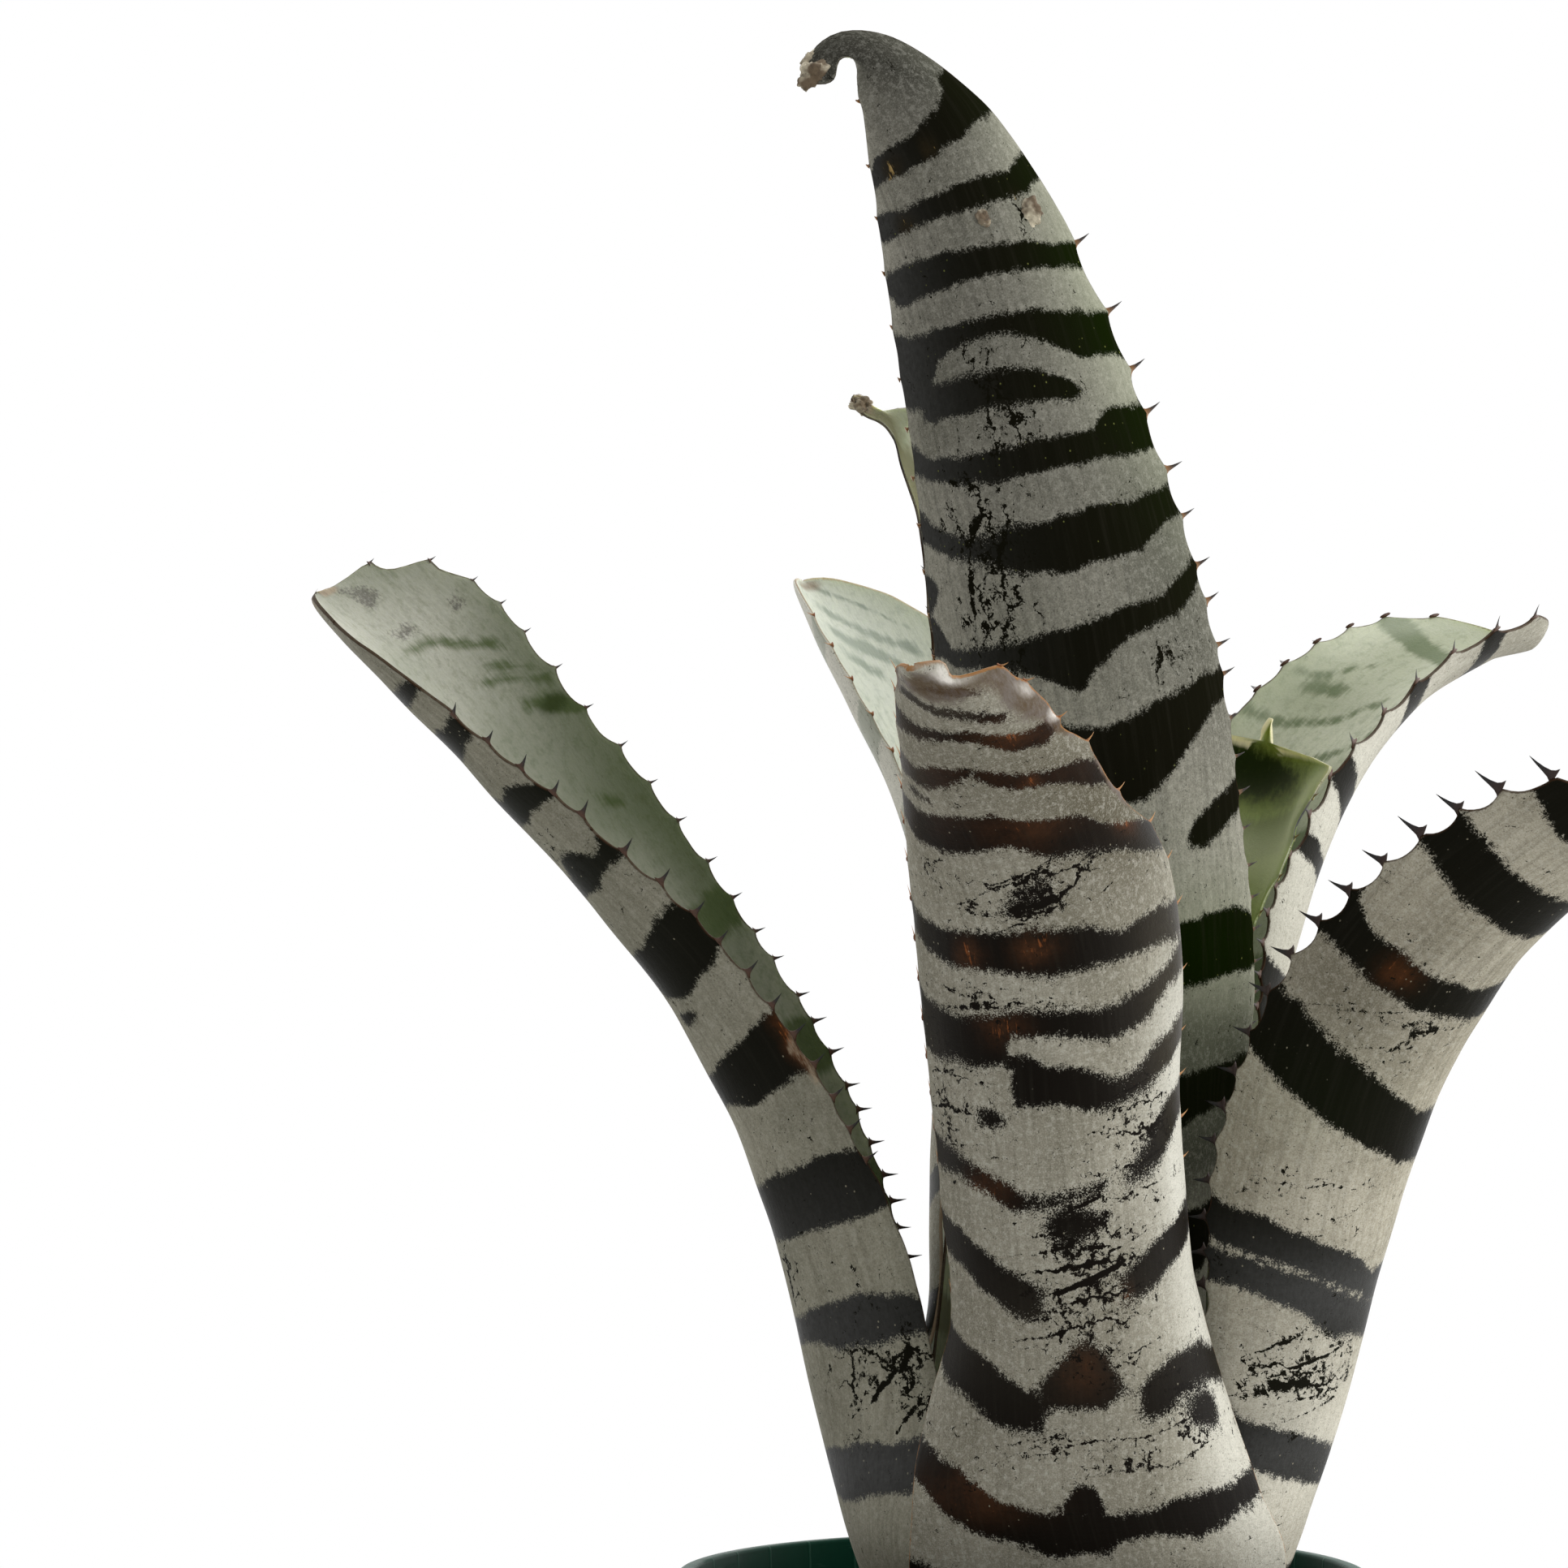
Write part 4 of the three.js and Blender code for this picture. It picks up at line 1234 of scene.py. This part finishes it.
leafBack = {
    "piece": "backLeaf",
    "node": "leaf_back",
    "seed": 5,
    "step": 0,
    "facing": 88,
    "wrap": 100,
    "tipStart": 0.84,
    "rows": [
        (12, 68, 180, 42, 148, 0), (12, 83, 215, 41, 158, 0), (11, 102, 252, 41, 156, 0),
        (9, 126, 284, 40, 145, 0), (5, 152, 306, 36, 125, 0), (1, 180, 316, 28, 110, 0),
    ],
    "teeth": {
        "from": 0.35,
        "spacing": (6, 12),
        "length": (2.6, 3.8),
        "lean": 0.35,
        "hollow": 1.0,
        "shape": "hooked",
    },
    "plainFrom": (20, 262),
    "blots": {
        "outer": {
            "wear": [(0.2, 150, 0.3, 14, 0.6), (-0.4, 90, 0.3, 12, 0.6)],
            "rust": [(0.2, 120, 0.3, 10, 0.8)],
            "dry": [(0, 280, 1, 4, 0.8)],
        },
        "inner": {"dry": [(0, 280, 1, 4, 0.8)]},
    },
}

leafBackLeft = {
    "piece": "backLeftLeaf",
    "node": "leaf_back_left",
    "seed": 6,
    "step": 2,
    "facing": 138,
    "wrap": 112,
    "tipStart": 0.86,
    "rows": [
        (-14, 46, 185, 34, 128, 0), (-12, 57, 213, 34, 130, 0), (-12, 69, 260, 34, 135, 0),
        (-17, 80, 305, 35, 135, 0), (-32, 93, 342, 34, 115, 0), (-51, 107, 373, 28, 100, 0),
    ],
    "teeth": {
        "from": 0.45,
        "spacing": (7, 12),
        "length": {-1: (2.4, 2.2), 1: (2.4, 1.3)},
        "lean": 0.35,
        "hollow": 0.9,
        "shape": "hooked",
        "tuck": {1: -1.3},
        "bareEnd": {-1: 30, 1: 8},
    },
    "plainFrom": (20, 285),
    "innerBands": [
        [(-0.78, 278.5, 280.5), (-0.72, 282.5, 285.5), (-0.57, 292.5, 295.5), (-0.27, 299, 301)],
        [(-0.67, 272.5, 276.5), (-0.57, 275, 279.2), (-0.33, 283, 287), (-0.02, 292.8, 295)],
        [(-0.47, 268.5, 272.5), (-0.28, 276, 280.6), (0.1, 285.2, 289)],
        [(-0.22, 268.5, 272.5), (0.08, 277.6, 281.2)],
        [(-1, 236, 246), (0, 232, 242), (1, 236, 246)],
        [(-1, 206, 216), (0, 202, 212), (1, 206, 216)],
        [(-1, 170, 182), (0, 166, 178), (1, 170, 182)],
        [(-1, 136, 148), (0, 132, 144), (1, 136, 148)],
    ],
    "blots": {
        "outer": {
            "wear": [(0.1, 200, 0.3, 16, 0.6)],
            "rust": [(0.3, 150, 0.3, 10, 0.6)],
            # Painted light and painted sheen along the margin at 1.
            "bloomAndSheen": [(1, 260, 0.55, 70, 1.4)],
            "pale": [(1, 270, 0.5, 70, 1.7)],
        },
        "inner": {
            # Painted light over the upper inner side.
            "pale": [(-0.3, 285, 0.9, 30, 0.45)],
            "dry": [(0, 300, 1, 2.5, 0.5)],
            "bloomAndSheen": [(1, 255, 0.4, 40, 0.6)],
        },
    },
    "look": {
        "bloomAndSheen": tint(170, 172, 158),
        "innerPaintedLight": tint(222, 226, 217),
        "innerPale": tint(197, 200, 185),
        "innerDeep": tint(160, 165, 148),
        "innerGreen": tint(56, 80, 48),
        "margin": tint(168, 146, 122),
        "marginWide": 0.7,
        "horn": "amber",
    },
}

leafBackRight = {
    "piece": "backRightLeaf",
    "node": "leaf_back_right",
    "seed": 7,
    "step": 3,
    "facing": 45,
    "wrap": 130,
    "tipStart": 0.88,
    "rows": [
        (42, 33, 195, 36, 150, 0), (48, 42, 235, 37, 160, 0), (58, 55, 278, 36, 165, 0),
        (71, 70, 313, 33, 150, 0), (90, 87, 338, 31, 130, 0), (112, 106, 352, 28, 112, 0),
        (131, 123, 357, 24, 105, 0),
    ],
    "teeth": {
        "from": 0.4,
        "spacing": (6.5, 12),
        "length": (2.8, 3.6),
        "lean": {-1: -0.1, 1: 0.3},
        "hollow": {-1: 2.6, 1: 1.2},
        "tuck": {1: -1.3},
        "seen": {
            -1: [
                300, 285, 270, 257, 245, 233.3, 223.1, 212.4, 201.4, 193.1, 186.8, 180, 173, 166,
                159, 152, 145,
            ],
        },
    },
    "bands": [
        [(-1, 222, 231), (-0.6, 219, 229), (0, 214, 226), (1, 218, 228)],
        [(-1, 204, 209), (-0.6, 203, 209), (0, 196, 204), (1, 198, 206)],
        [(-1, 160, 178), (-0.5, 156, 176), (0, 150, 172), (1, 152, 172)],
        [(-1, 122, 136), (0, 116, 132), (1, 120, 136)],
        [(-1, 254, 262), (0, 248, 258), (1, 252, 260)],
        [(-1, 282, 290), (0, 278, 287), (1, 280, 288)],
    ],
    "plainFrom": (20, 95),
    "innerBands": [
        [(0.5, 280, 282), (0.58, 276, 279.5), (0.68, 267.5, 270.5), (0.83, 263, 266),
         (0.93, 261, 264)],
        [(0.5, 265, 268), (0.6, 262, 267), (0.8, 260, 263)],
        [(0.1, 266, 269), (0.2, 263, 266.5), (0.35, 255, 258.5), (0.65, 248, 251),
         (0.98, 244.5, 247.5)],
        [(-0.1, 252.5, 255.5), (0.12, 244.5, 247.5), (0.3, 240, 243)],
        [(-1, 214, 224), (0, 210, 222), (1, 214, 224)],
        [(-1, 180, 192), (0, 176, 188), (1, 180, 192)],
        [(-1, 146, 158), (0, 142, 154), (1, 146, 158)],
        [(-1, 292, 300), (0, 290, 298), (1, 292, 300)],
    ],
    "blots": {
        # Outside, painted light along the margin at -1; inside, painted light by the margin at 1
        # and painted shade lower down.
        "outer": {"wear": [(0.1, 200, 0.3, 16, 0.6)], "pale": [(-0.9, 220, 0.4, 60, 0.7)]},
        "inner": {"pale": [(0.9, 300, 0.2, 60, 0.3), (-0.1, 205, 0.6, 26, -0.35)]},
    },
    "cutBack": [(-1, 190, -6.0, 24), (-1, 226, -3.0, 16)],
}

leafUpright = {
    "piece": "uprightBackLeaf",
    "node": "leaf_upright_back",
    "seed": 8,
    "step": 5,
    "facing": 100,
    "wrap": 130,
    "tipStart": 0.92,
    "rows": [
        (4, 36, 225, 30, 130, 0), (2, 40, 280, 30, 130, 0), (0, 42, 330, 27, 130, 0),
        (-7, 43, 368, 21, 130, 0), (-17, 42, 393, 12, 120, 0), (-29, 41, 409, 7, 110, 0),
        (-39, 40, 415, 5, 100, 0),
    ],
    "teeth": {
        "from": 0.42,
        "spacing": (7, 13),
        "length": (2.2, 3.2),
        "lean": 0.3,
        "hollow": 0.8,
        "bareEnd": {-1: 18, 1: 44},
    },
    "plainFrom": (20, 300),
    "blots": {
        "outer": {"dry": [(0, 321, 1.2, 6, 0.8)]},
        "inner": {
            "dry": [(0, 321, 1.2, 6, 0.8)],
            # Painted light over the inner side, and painted shade by the margin at 1 and under the
            # tip.
            "pale": [
                (-0.6, 280, 0.9, 60, 1.0), (0.9, 300, 0.35, 30, -1.6), (0.4, 312, 1.5, 6, -1.4),
            ],
            "bloomAndSheen": [(1, 300, 0.4, 40, 1.2), (-1, 300, 0.4, 40, 0.8)],
        },
    },
    "look": {"glow": 0.8, "innerPaintedLight": tint(240, 240, 222), "innerGreen": tint(126, 124, 98)},
    "cutBack": [(-1, 314.5, 6.4, 4.8), (1, 309, 4.2, 8), (1, 290, 1.6, 12)],
    "knobs": [(318.7, 0.2, 1.9, 1.9, 2.7, 0)],
}

leafYoung = {
    "piece": "youngLeaf",
    "node": "leaf_young",
    "slot": "young_leaf",
    "seed": 9,
    "step": 6,
    "facing": 75,
    "wrap": 130,
    "tipStart": 0.945,
    "apex": {"tall": 6.4, "half": 3.1, "square": 3.6},
    "rows": [
        (26, 20, 200, 21, 140, 0), (34, 22, 245, 22, 130, 0), (45, 23, 288, 23, 120, 0),
        (54, 24, 317, 24, 112, 0), (60, 25, 338, 22, 105, 0),
    ],
    "teeth": {
        "from": 0.5,
        "spacing": (7, 11),
        "length": (1.6, 2.4),
        "lean": 0.3,
        "hollow": 0.7,
    },
    "plainFrom": (20, 215),
    "blots": {
        "outer": {"green": [(0, 150, 2, 200, 1.0)], "bloomAndSheen": [(-1, 198, 0.5, 27, 1.5)]},
        "inner": {
            "green": [(0.2, 221, 0.9, 8, 1.2), (0, 176, 1.5, 10, 0.8)],
            # Painted light along the fold and just under the top edge.
            "pale": [
                (-0.75, 205, 0.35, 14, 0.9), (-0.1, 202, 0.5, 9, 0.85), (-0.95, 225, 0.16, 5, 0.8),
                (-0.8, 217, 0.14, 6, 0.8), (0.7, 228.6, 0.25, 1.3, 1.2), (-0.6, 229, 0.3, 1.1, 1.2),
            ],
            "bloomAndSheen": [(-1, 198, 0.5, 27, 1.5)],
            # These rust blots paint the light that comes through the top margin.
            "rust": [(-0.4, 228, 0.35, 1.8, 0.8), (0, 233, 1, 3, 0.9)],
        },
    },
    "look": {
        "silver": tint(120, 132, 84),
        "silverDeep": tint(84, 98, 44),
        "innerPaintedLight": tint(202, 206, 172),
        "innerPale": tint(158, 172, 98),
        "innerDeep": tint(104, 122, 38),
        "innerGreen": tint(66, 82, 12),
        "innerDark": tint(22, 33, 0),
        "innerGloss": 0.06,
        "margin": tint(236, 226, 190),
        "marginWide": 1.5,
        "horn": "pale",
        "glow": 0.3,
    },
    "cutBack": [(-1, 186, 12, 30), (-1, 214, 4, 8), (1, 228.5, 2.2, 2.5), (-1, 222, 1.5, 4)],
}

leaves = [
    leafFront,
    leafTall,
    leafLeft,
    leafRight,
    leafBack,
    leafBackLeft,
    leafBackRight,
    leafUpright,
    leafYoung,
]
for leaf in leaves:
    teeth = {**plainTeeth, **leaf["teeth"]}
    piece = makeLeaf({**plainLeaf, **leaf, "teeth": teeth})
    print("stage: leaf", leaf["piece"], len(piece.data.polygons))

print("stage: pot")

pot = {
    "height": 140,
    "rimRadius": 80,
    "collarRadius": 77.5,
    "neckRadius": 74,
    "baseRadius": 54,
    "collarDepth": 24,
    "lip": 3,
    "wall": 1.8,
    "floor": 2.5,
    "drainRadius": 5,
    "drainCircle": 38,
    "drainCount": 8,
    "drainSides": 32,
    "sides": 144,
    "sharpFrom": 50,
    "green": tint(5, 66, 49),
    "deepGreen": tint(0, 56, 40),
    "ribHighlight": tint(66, 118, 98),
    "lineCount": 36,
    "scuffColour": tint(110, 136, 122),
    "soilColour": tint(112, 108, 90),
}


def profileSpun(points, sides):  # pairs of radius and height, spun round the upright axis
    made = bmesh.new()
    line = [made.verts.new((radius * mm, 0, height * mm)) for radius, height in points]
    edges = [made.edges.new(pair) for pair in zip(line, line[1:])]
    bmesh.ops.spin(
        made,
        geom=line + edges,
        cent=(0, 0, 0),
        axis=(0, 0, 1),
        dvec=(0, 0, 0),
        angle=2 * math.pi,
        steps=sides,
        use_merge=True,
    )
    bmesh.ops.remove_doubles(made, verts=made.verts[:], dist=0.00001)
    bmesh.ops.dissolve_degenerate(made, edges=made.edges[:], dist=0.000001)
    bmesh.ops.recalc_face_normals(made, faces=made.faces[:])
    for face in made.faces:
        face.smooth = True
    return made


def potFinish():
    paint = Finish("greenPlastic")
    x, y, z = paint.split(paint.place())
    turn = x.reckon("ARCTAN2", y, x) * (pot["lineCount"] / math.tau)
    # The lighter colour along the ribs is a painted highlight.
    line = 1 - (turn.reckon("PINGPONG", turn, 0.5)).rise(0.01, 0.035)
    dust = paint.grainy((60, 60, 25), 5.0, 0.65)
    fine = paint.grainy((700, 700, 700), 2.0)
    scuff = paint.grainy((40, 40, 420), 3.0, 0.6)
    low = 1 - (z * 1000 + (dust - 0.5) * 60).rise(2, 26)
    colour = paint.layered(
        pot["deepGreen"],
        (dust.rise(0.4, 0.7) * 0.5, pot["green"]),
        (line * 0.25, pot["ribHighlight"]),
        (scuff.rise(0.66, 0.74) * 0.18, pot["scuffColour"]),
        (low * 0.22, pot["soilColour"]),
    )
    paint.shade(Base_Color=colour, Roughness=0.4 + dust * 0.2 + scuff.rise(0.6, 0.7) * 0.15)
    paint.shade(Specular_IOR_Level=0.06)
    paint.bump(fine * 0.3 + line * 0.8 + scuff * 0.2, 0.35, 0.25 * mm)
    return paint.material


def makePot():
    rim = pot["rimRadius"]
    collar = pot["collarRadius"]
    waist = pot["neckRadius"]
    base = pot["baseRadius"]
    wall = pot["wall"]
    floor = pot["floor"]
    height = pot["height"]
    neck = height - pot["collarDepth"]
    lip = height - pot["lip"]
    inside = collar + 0.8 - wall
    middle = between(base, waist, 0.5)
    underside = [(0, 0.6), (30, 0.6), (31, 0), (base - 1.5, 0), (base - 0.4, 0.4), (base, 1.4)]
    outside = [(middle + 0.3, neck * 0.5), (waist, neck - 0.6), (waist + 0.5, neck)]
    outside += [(collar - 0.6, neck + 0.4), (collar, neck + 1.2), (collar + 0.8, lip - 1.4)]
    edge = [(rim - 0.6, lip - 0.2), (rim, lip + 0.5), (rim, height - 0.7)]
    edge += [(rim - 0.3, height - 0.2), (rim - 0.9, height)]
    edge += [(inside + 0.7, height), (inside + 0.2, height - 0.25)]
    hollow = [(inside, height - 0.8), (inside - 0.4, height - 8), (waist + 1.7 - wall, neck + 2.4)]
    hollow += [(waist + 1.2 - wall, neck + 0.4), (middle + 1.2 - wall, neck * 0.5)]
    hollow += [(base + 1 - wall, floor + 1), (base - 0.6 - wall, floor), (0, floor)]
    made = profileSpun(underside + outside + edge + hollow, pot["sides"])
    piece = placed("nurseryPot", made, [potFinish()], "pot")

    # The drain holes.
    drills = bmesh.new()
    radius = pot["drainRadius"] * mm
    circle = pot["drainCircle"]
    for i in range(pot["drainCount"]):
        turn = (i + 0.5) / pot["drainCount"] * math.tau
        spot = (circle * math.cos(turn) * mm, circle * math.sin(turn) * mm, 0)
        bmesh.ops.create_cone(
            drills,
            cap_ends=True,
            segments=pot["drainSides"],
            radius1=radius,
            radius2=radius,
            depth=12 * mm,
            matrix=Matrix.Translation(spot),
        )
    drill = linked("drills", meshed("drills", drills))
    cut = piece.modifiers.new("drain", "BOOLEAN")
    cut.operation = "DIFFERENCE"
    cut.solver = "EXACT"
    cut.object = drill
    view = bpy.context.evaluated_depsgraph_get()
    piece.data = bpy.data.meshes.new_from_object(piece.evaluated_get(view))
    piece.modifiers.clear()
    bpy.data.objects.remove(drill)
    piece.data.set_sharp_from_angle(angle=math.radians(pot["sharpFrom"]))


makePot()

print("stage: bark mix and stem")

barkMix = {
    "top": 119,
    "gap": 0.3,
    "holeFloor": 92,
    "holeFloorRadius": 25,
    "holeTopRadius": 44.5,
    "sides": 120,
    "rings": 14,
    "waves": 2.0,
    "bedColours": (tint(92, 62, 40), tint(40, 28, 20)),  # light, deep
    "pits": tint(30, 22, 16),
    "seed": 11,
    "chips": 420,
    "chipsWithin": (49, 71.5),
    "chipSize": ((2.5, 6.5), (1.5, 4), (0.6, 1.6)),
    "chipColours": (tint(120, 82, 52), tint(56, 38, 26)),
    "stones": 0.12,  # how many of the chips are pale stones
    "stoneSize": (1.4, 2.6),
    "stoneColours": (tint(196, 188, 172), tint(150, 142, 128)),
    "stemColours": (tint(118, 92, 62), tint(66, 48, 32)),
}


def barkFinish(name, light, deep):
    paint = Finish(name)
    coarse = paint.grainy((110, 110, 150), 4.0, 0.6)
    grain = paint.grainy((700, 500, 900), 4.0, 0.7)
    crumb = paint.cells(paint.scaled(paint.place(), (190, 190, 190)), "F1", 1)
    colour = paint.mixed(coarse.rise(0.36, 0.66), deep, light)
    colour = paint.mixed(0.35, colour, crumb, "OVERLAY")
    colour = paint.mixed(grain.rise(0.5, 0.75) * 0.5, colour, barkMix["pits"])
    paint.shade(Base_Color=colour, Roughness=0.9, Specular_IOR_Level=0.2)
    paint.bump(grain * 0.5 + coarse, 0.8, 1.2 * mm)
    return paint.material


def potInside(z):
    foot = pot["height"] - pot["collarDepth"] + 1.5
    low = pot["baseRadius"] + 1 - pot["wall"]
    high = pot["neckRadius"] + 1.5 - pot["wall"]
    return between(low, high, min((z - pot["floor"]) / (foot - pot["floor"]), 1))


def makeMix():
    top = barkMix["top"]
    gap = barkMix["gap"] + 0.3
    bottom = pot["floor"] + gap
    edge = potInside(top - 2) - gap
    hole = barkMix["holeTopRadius"]
    rings = barkMix["rings"]
    points = [(0, bottom), (potInside(bottom) - 1.0, bottom), (edge, top - 2)]
    points += [(between(edge, hole, i / rings), top) for i in range(1, rings + 1)]
    points += [(barkMix["holeFloorRadius"], barkMix["holeFloor"]), (0, barkMix["holeFloor"])]
    made = profileSpun(points, barkMix["sides"])

    def towardsCrown(radius):  # the hole stands round the crown, which is off the pot's middle
        return crown["x"] * held((edge - radius) / (edge - hole))

    for point in made.verts:
        x, y, z = point.co / mm
        if z > bottom + 1:
            x += towardsCrown(math.hypot(x, y))
        if z > top - 0.1:
            wave = noise.fractal(Vector((x, y, 3.0)) * 0.09, 1.0, 2.0, 4)
            z += wave * barkMix["waves"]
        point.co = Vector((x, y, z)) * mm
    placed("barkBed", made, [barkFinish("barkBed", *barkMix["bedColours"])], "bark_mix")

    # Loose chips of bark and a few pale stones lie on the bed.
    pick = random.Random(barkMix["seed"])
    near, far = barkMix["chipsWithin"]
    chips = bmesh.new()
    for i in range(barkMix["chips"]):
        stone = pick.random() < barkMix["stones"]
        radius = math.sqrt(pick.uniform(near**2, far**2))
        turn = pick.uniform(0, math.tau)
        x = radius * math.cos(turn) + towardsCrown(radius)
        spot = Vector((x, radius * math.sin(turn), top + pick.uniform(-0.5, 2)))
        if math.hypot(spot.x, spot.y) > edge - 1.5:
            continue
        if stone:
            size = Vector((pick.uniform(*barkMix["stoneSize"]),) * 3)
        else:
            size = Vector([pick.uniform(*span) for span in barkMix["chipSize"]])
        tilt = Matrix.Rotation(pick.uniform(0, math.tau), 4, "Z")
        tilt = tilt @ Matrix.Rotation(pick.uniform(-0.5, 0.5), 4, "X")
        turned = Matrix.Translation(spot * mm) @ tilt @ Matrix.Diagonal((*(size * mm), 1))
        first = len(chips.faces)
        shape = bmesh.ops.create_icosphere(chips, subdivisions=1, radius=1.0, matrix=turned)
        for point in shape["verts"]:
            point.co += (point.co - spot * mm) * pick.uniform(-0.25, 0.3)
        chips.faces.ensure_lookup_table()
        for face in chips.faces[first:]:
            face.material_index = 1 if stone else 0
            face.smooth = stone
    chipBark = barkFinish("barkChip", *barkMix["chipColours"])
    paleStone = barkFinish("paleStone", *barkMix["stoneColours"])
    placed("barkChips", chips, [chipBark, paleStone], None)


makeMix()

stemBark = barkFinish("woodyStem", *barkMix["stemColours"])
for slot in bpy.data.objects["stem"].material_slots:
    slot.material = stemBark

print("stage: floor, light and camera")

# In metres.
studio = {
    "floorRadius": 1.05,
    "floorShade": 0.5,
    "behind": 2.6,  # how bright the light is behind the plant and before it
    "before": 0.6,
    "towardsRight": 0.6,
    "lampEnergy": 3.4,
    "lampSize": 0.7,
    "lampAt": (0.95, -0.4, 0.4),
    "lampAim": (0.05, 0, 0.18),
}

floorShape = bmesh.new()
radius = studio["floorRadius"]
bmesh.ops.create_circle(floorShape, cap_ends=True, segments=96, radius=radius)
paleFloor = Finish("paleFloor")
shade = studio["floorShade"]
paleFloor.shade(Base_Color=(shade, shade, shade * 0.985, 1), Roughness=0.9)
paleFloor.shade(Specular_IOR_Level=0.1)
floor = linked("floor", meshed("floor", floorShape, [paleFloor.material]))

# The camera sees a white backdrop, and the light is brightest behind the plant.
world = bpy.data.worlds.new("studio")
world.use_nodes = True
bpy.context.scene.world = world
sky = Board(world.node_tree)
right, back, up = sky.split(sky.node("ShaderNodeTexCoord", {}, {}, 0))
towards = back * 0.9 + right * studio["towardsRight"] + up * 0.15
strength = towards.rise(-0.3, 0.8) * (studio["behind"] - studio["before"]) + studio["before"]
seen = sky.node("ShaderNodeLightPath", {}, {}, 0)
background = world.node_tree.nodes["Background"]
background.inputs[0].default_value = (1, 1, 1, 1)
sky.set(background.inputs[1], strength * (1 - seen) + seen)

lampData = bpy.data.lights.new("sideLamp", "AREA")
lampData.energy = studio["lampEnergy"]
lampData.size = studio["lampSize"]
lamp = linked("sideLamp", lampData)
lamp.location = studio["lampAt"]
aim = Vector(studio["lampAim"]) - lamp.location
lamp.rotation_euler = aim.to_track_quat("-Z", "Y").to_euler()

view = {"x": -55.3, "z": 322.6, "away": 1500, "lens": 148.49}  # in millimetres
lensData = bpy.data.cameras.new("photoCamera")
lensData.lens = view["lens"]
lensData.sensor_width = 36
lensData.clip_end = 20
camera = linked("photoCamera", lensData)
camera.location = (view["x"] * mm, -view["away"] * mm, view["z"] * mm)
camera.rotation_euler = (math.radians(90), 0, 0)
bpy.context.scene.camera = camera
bpy.context.scene.view_settings.view_transform = "Standard"
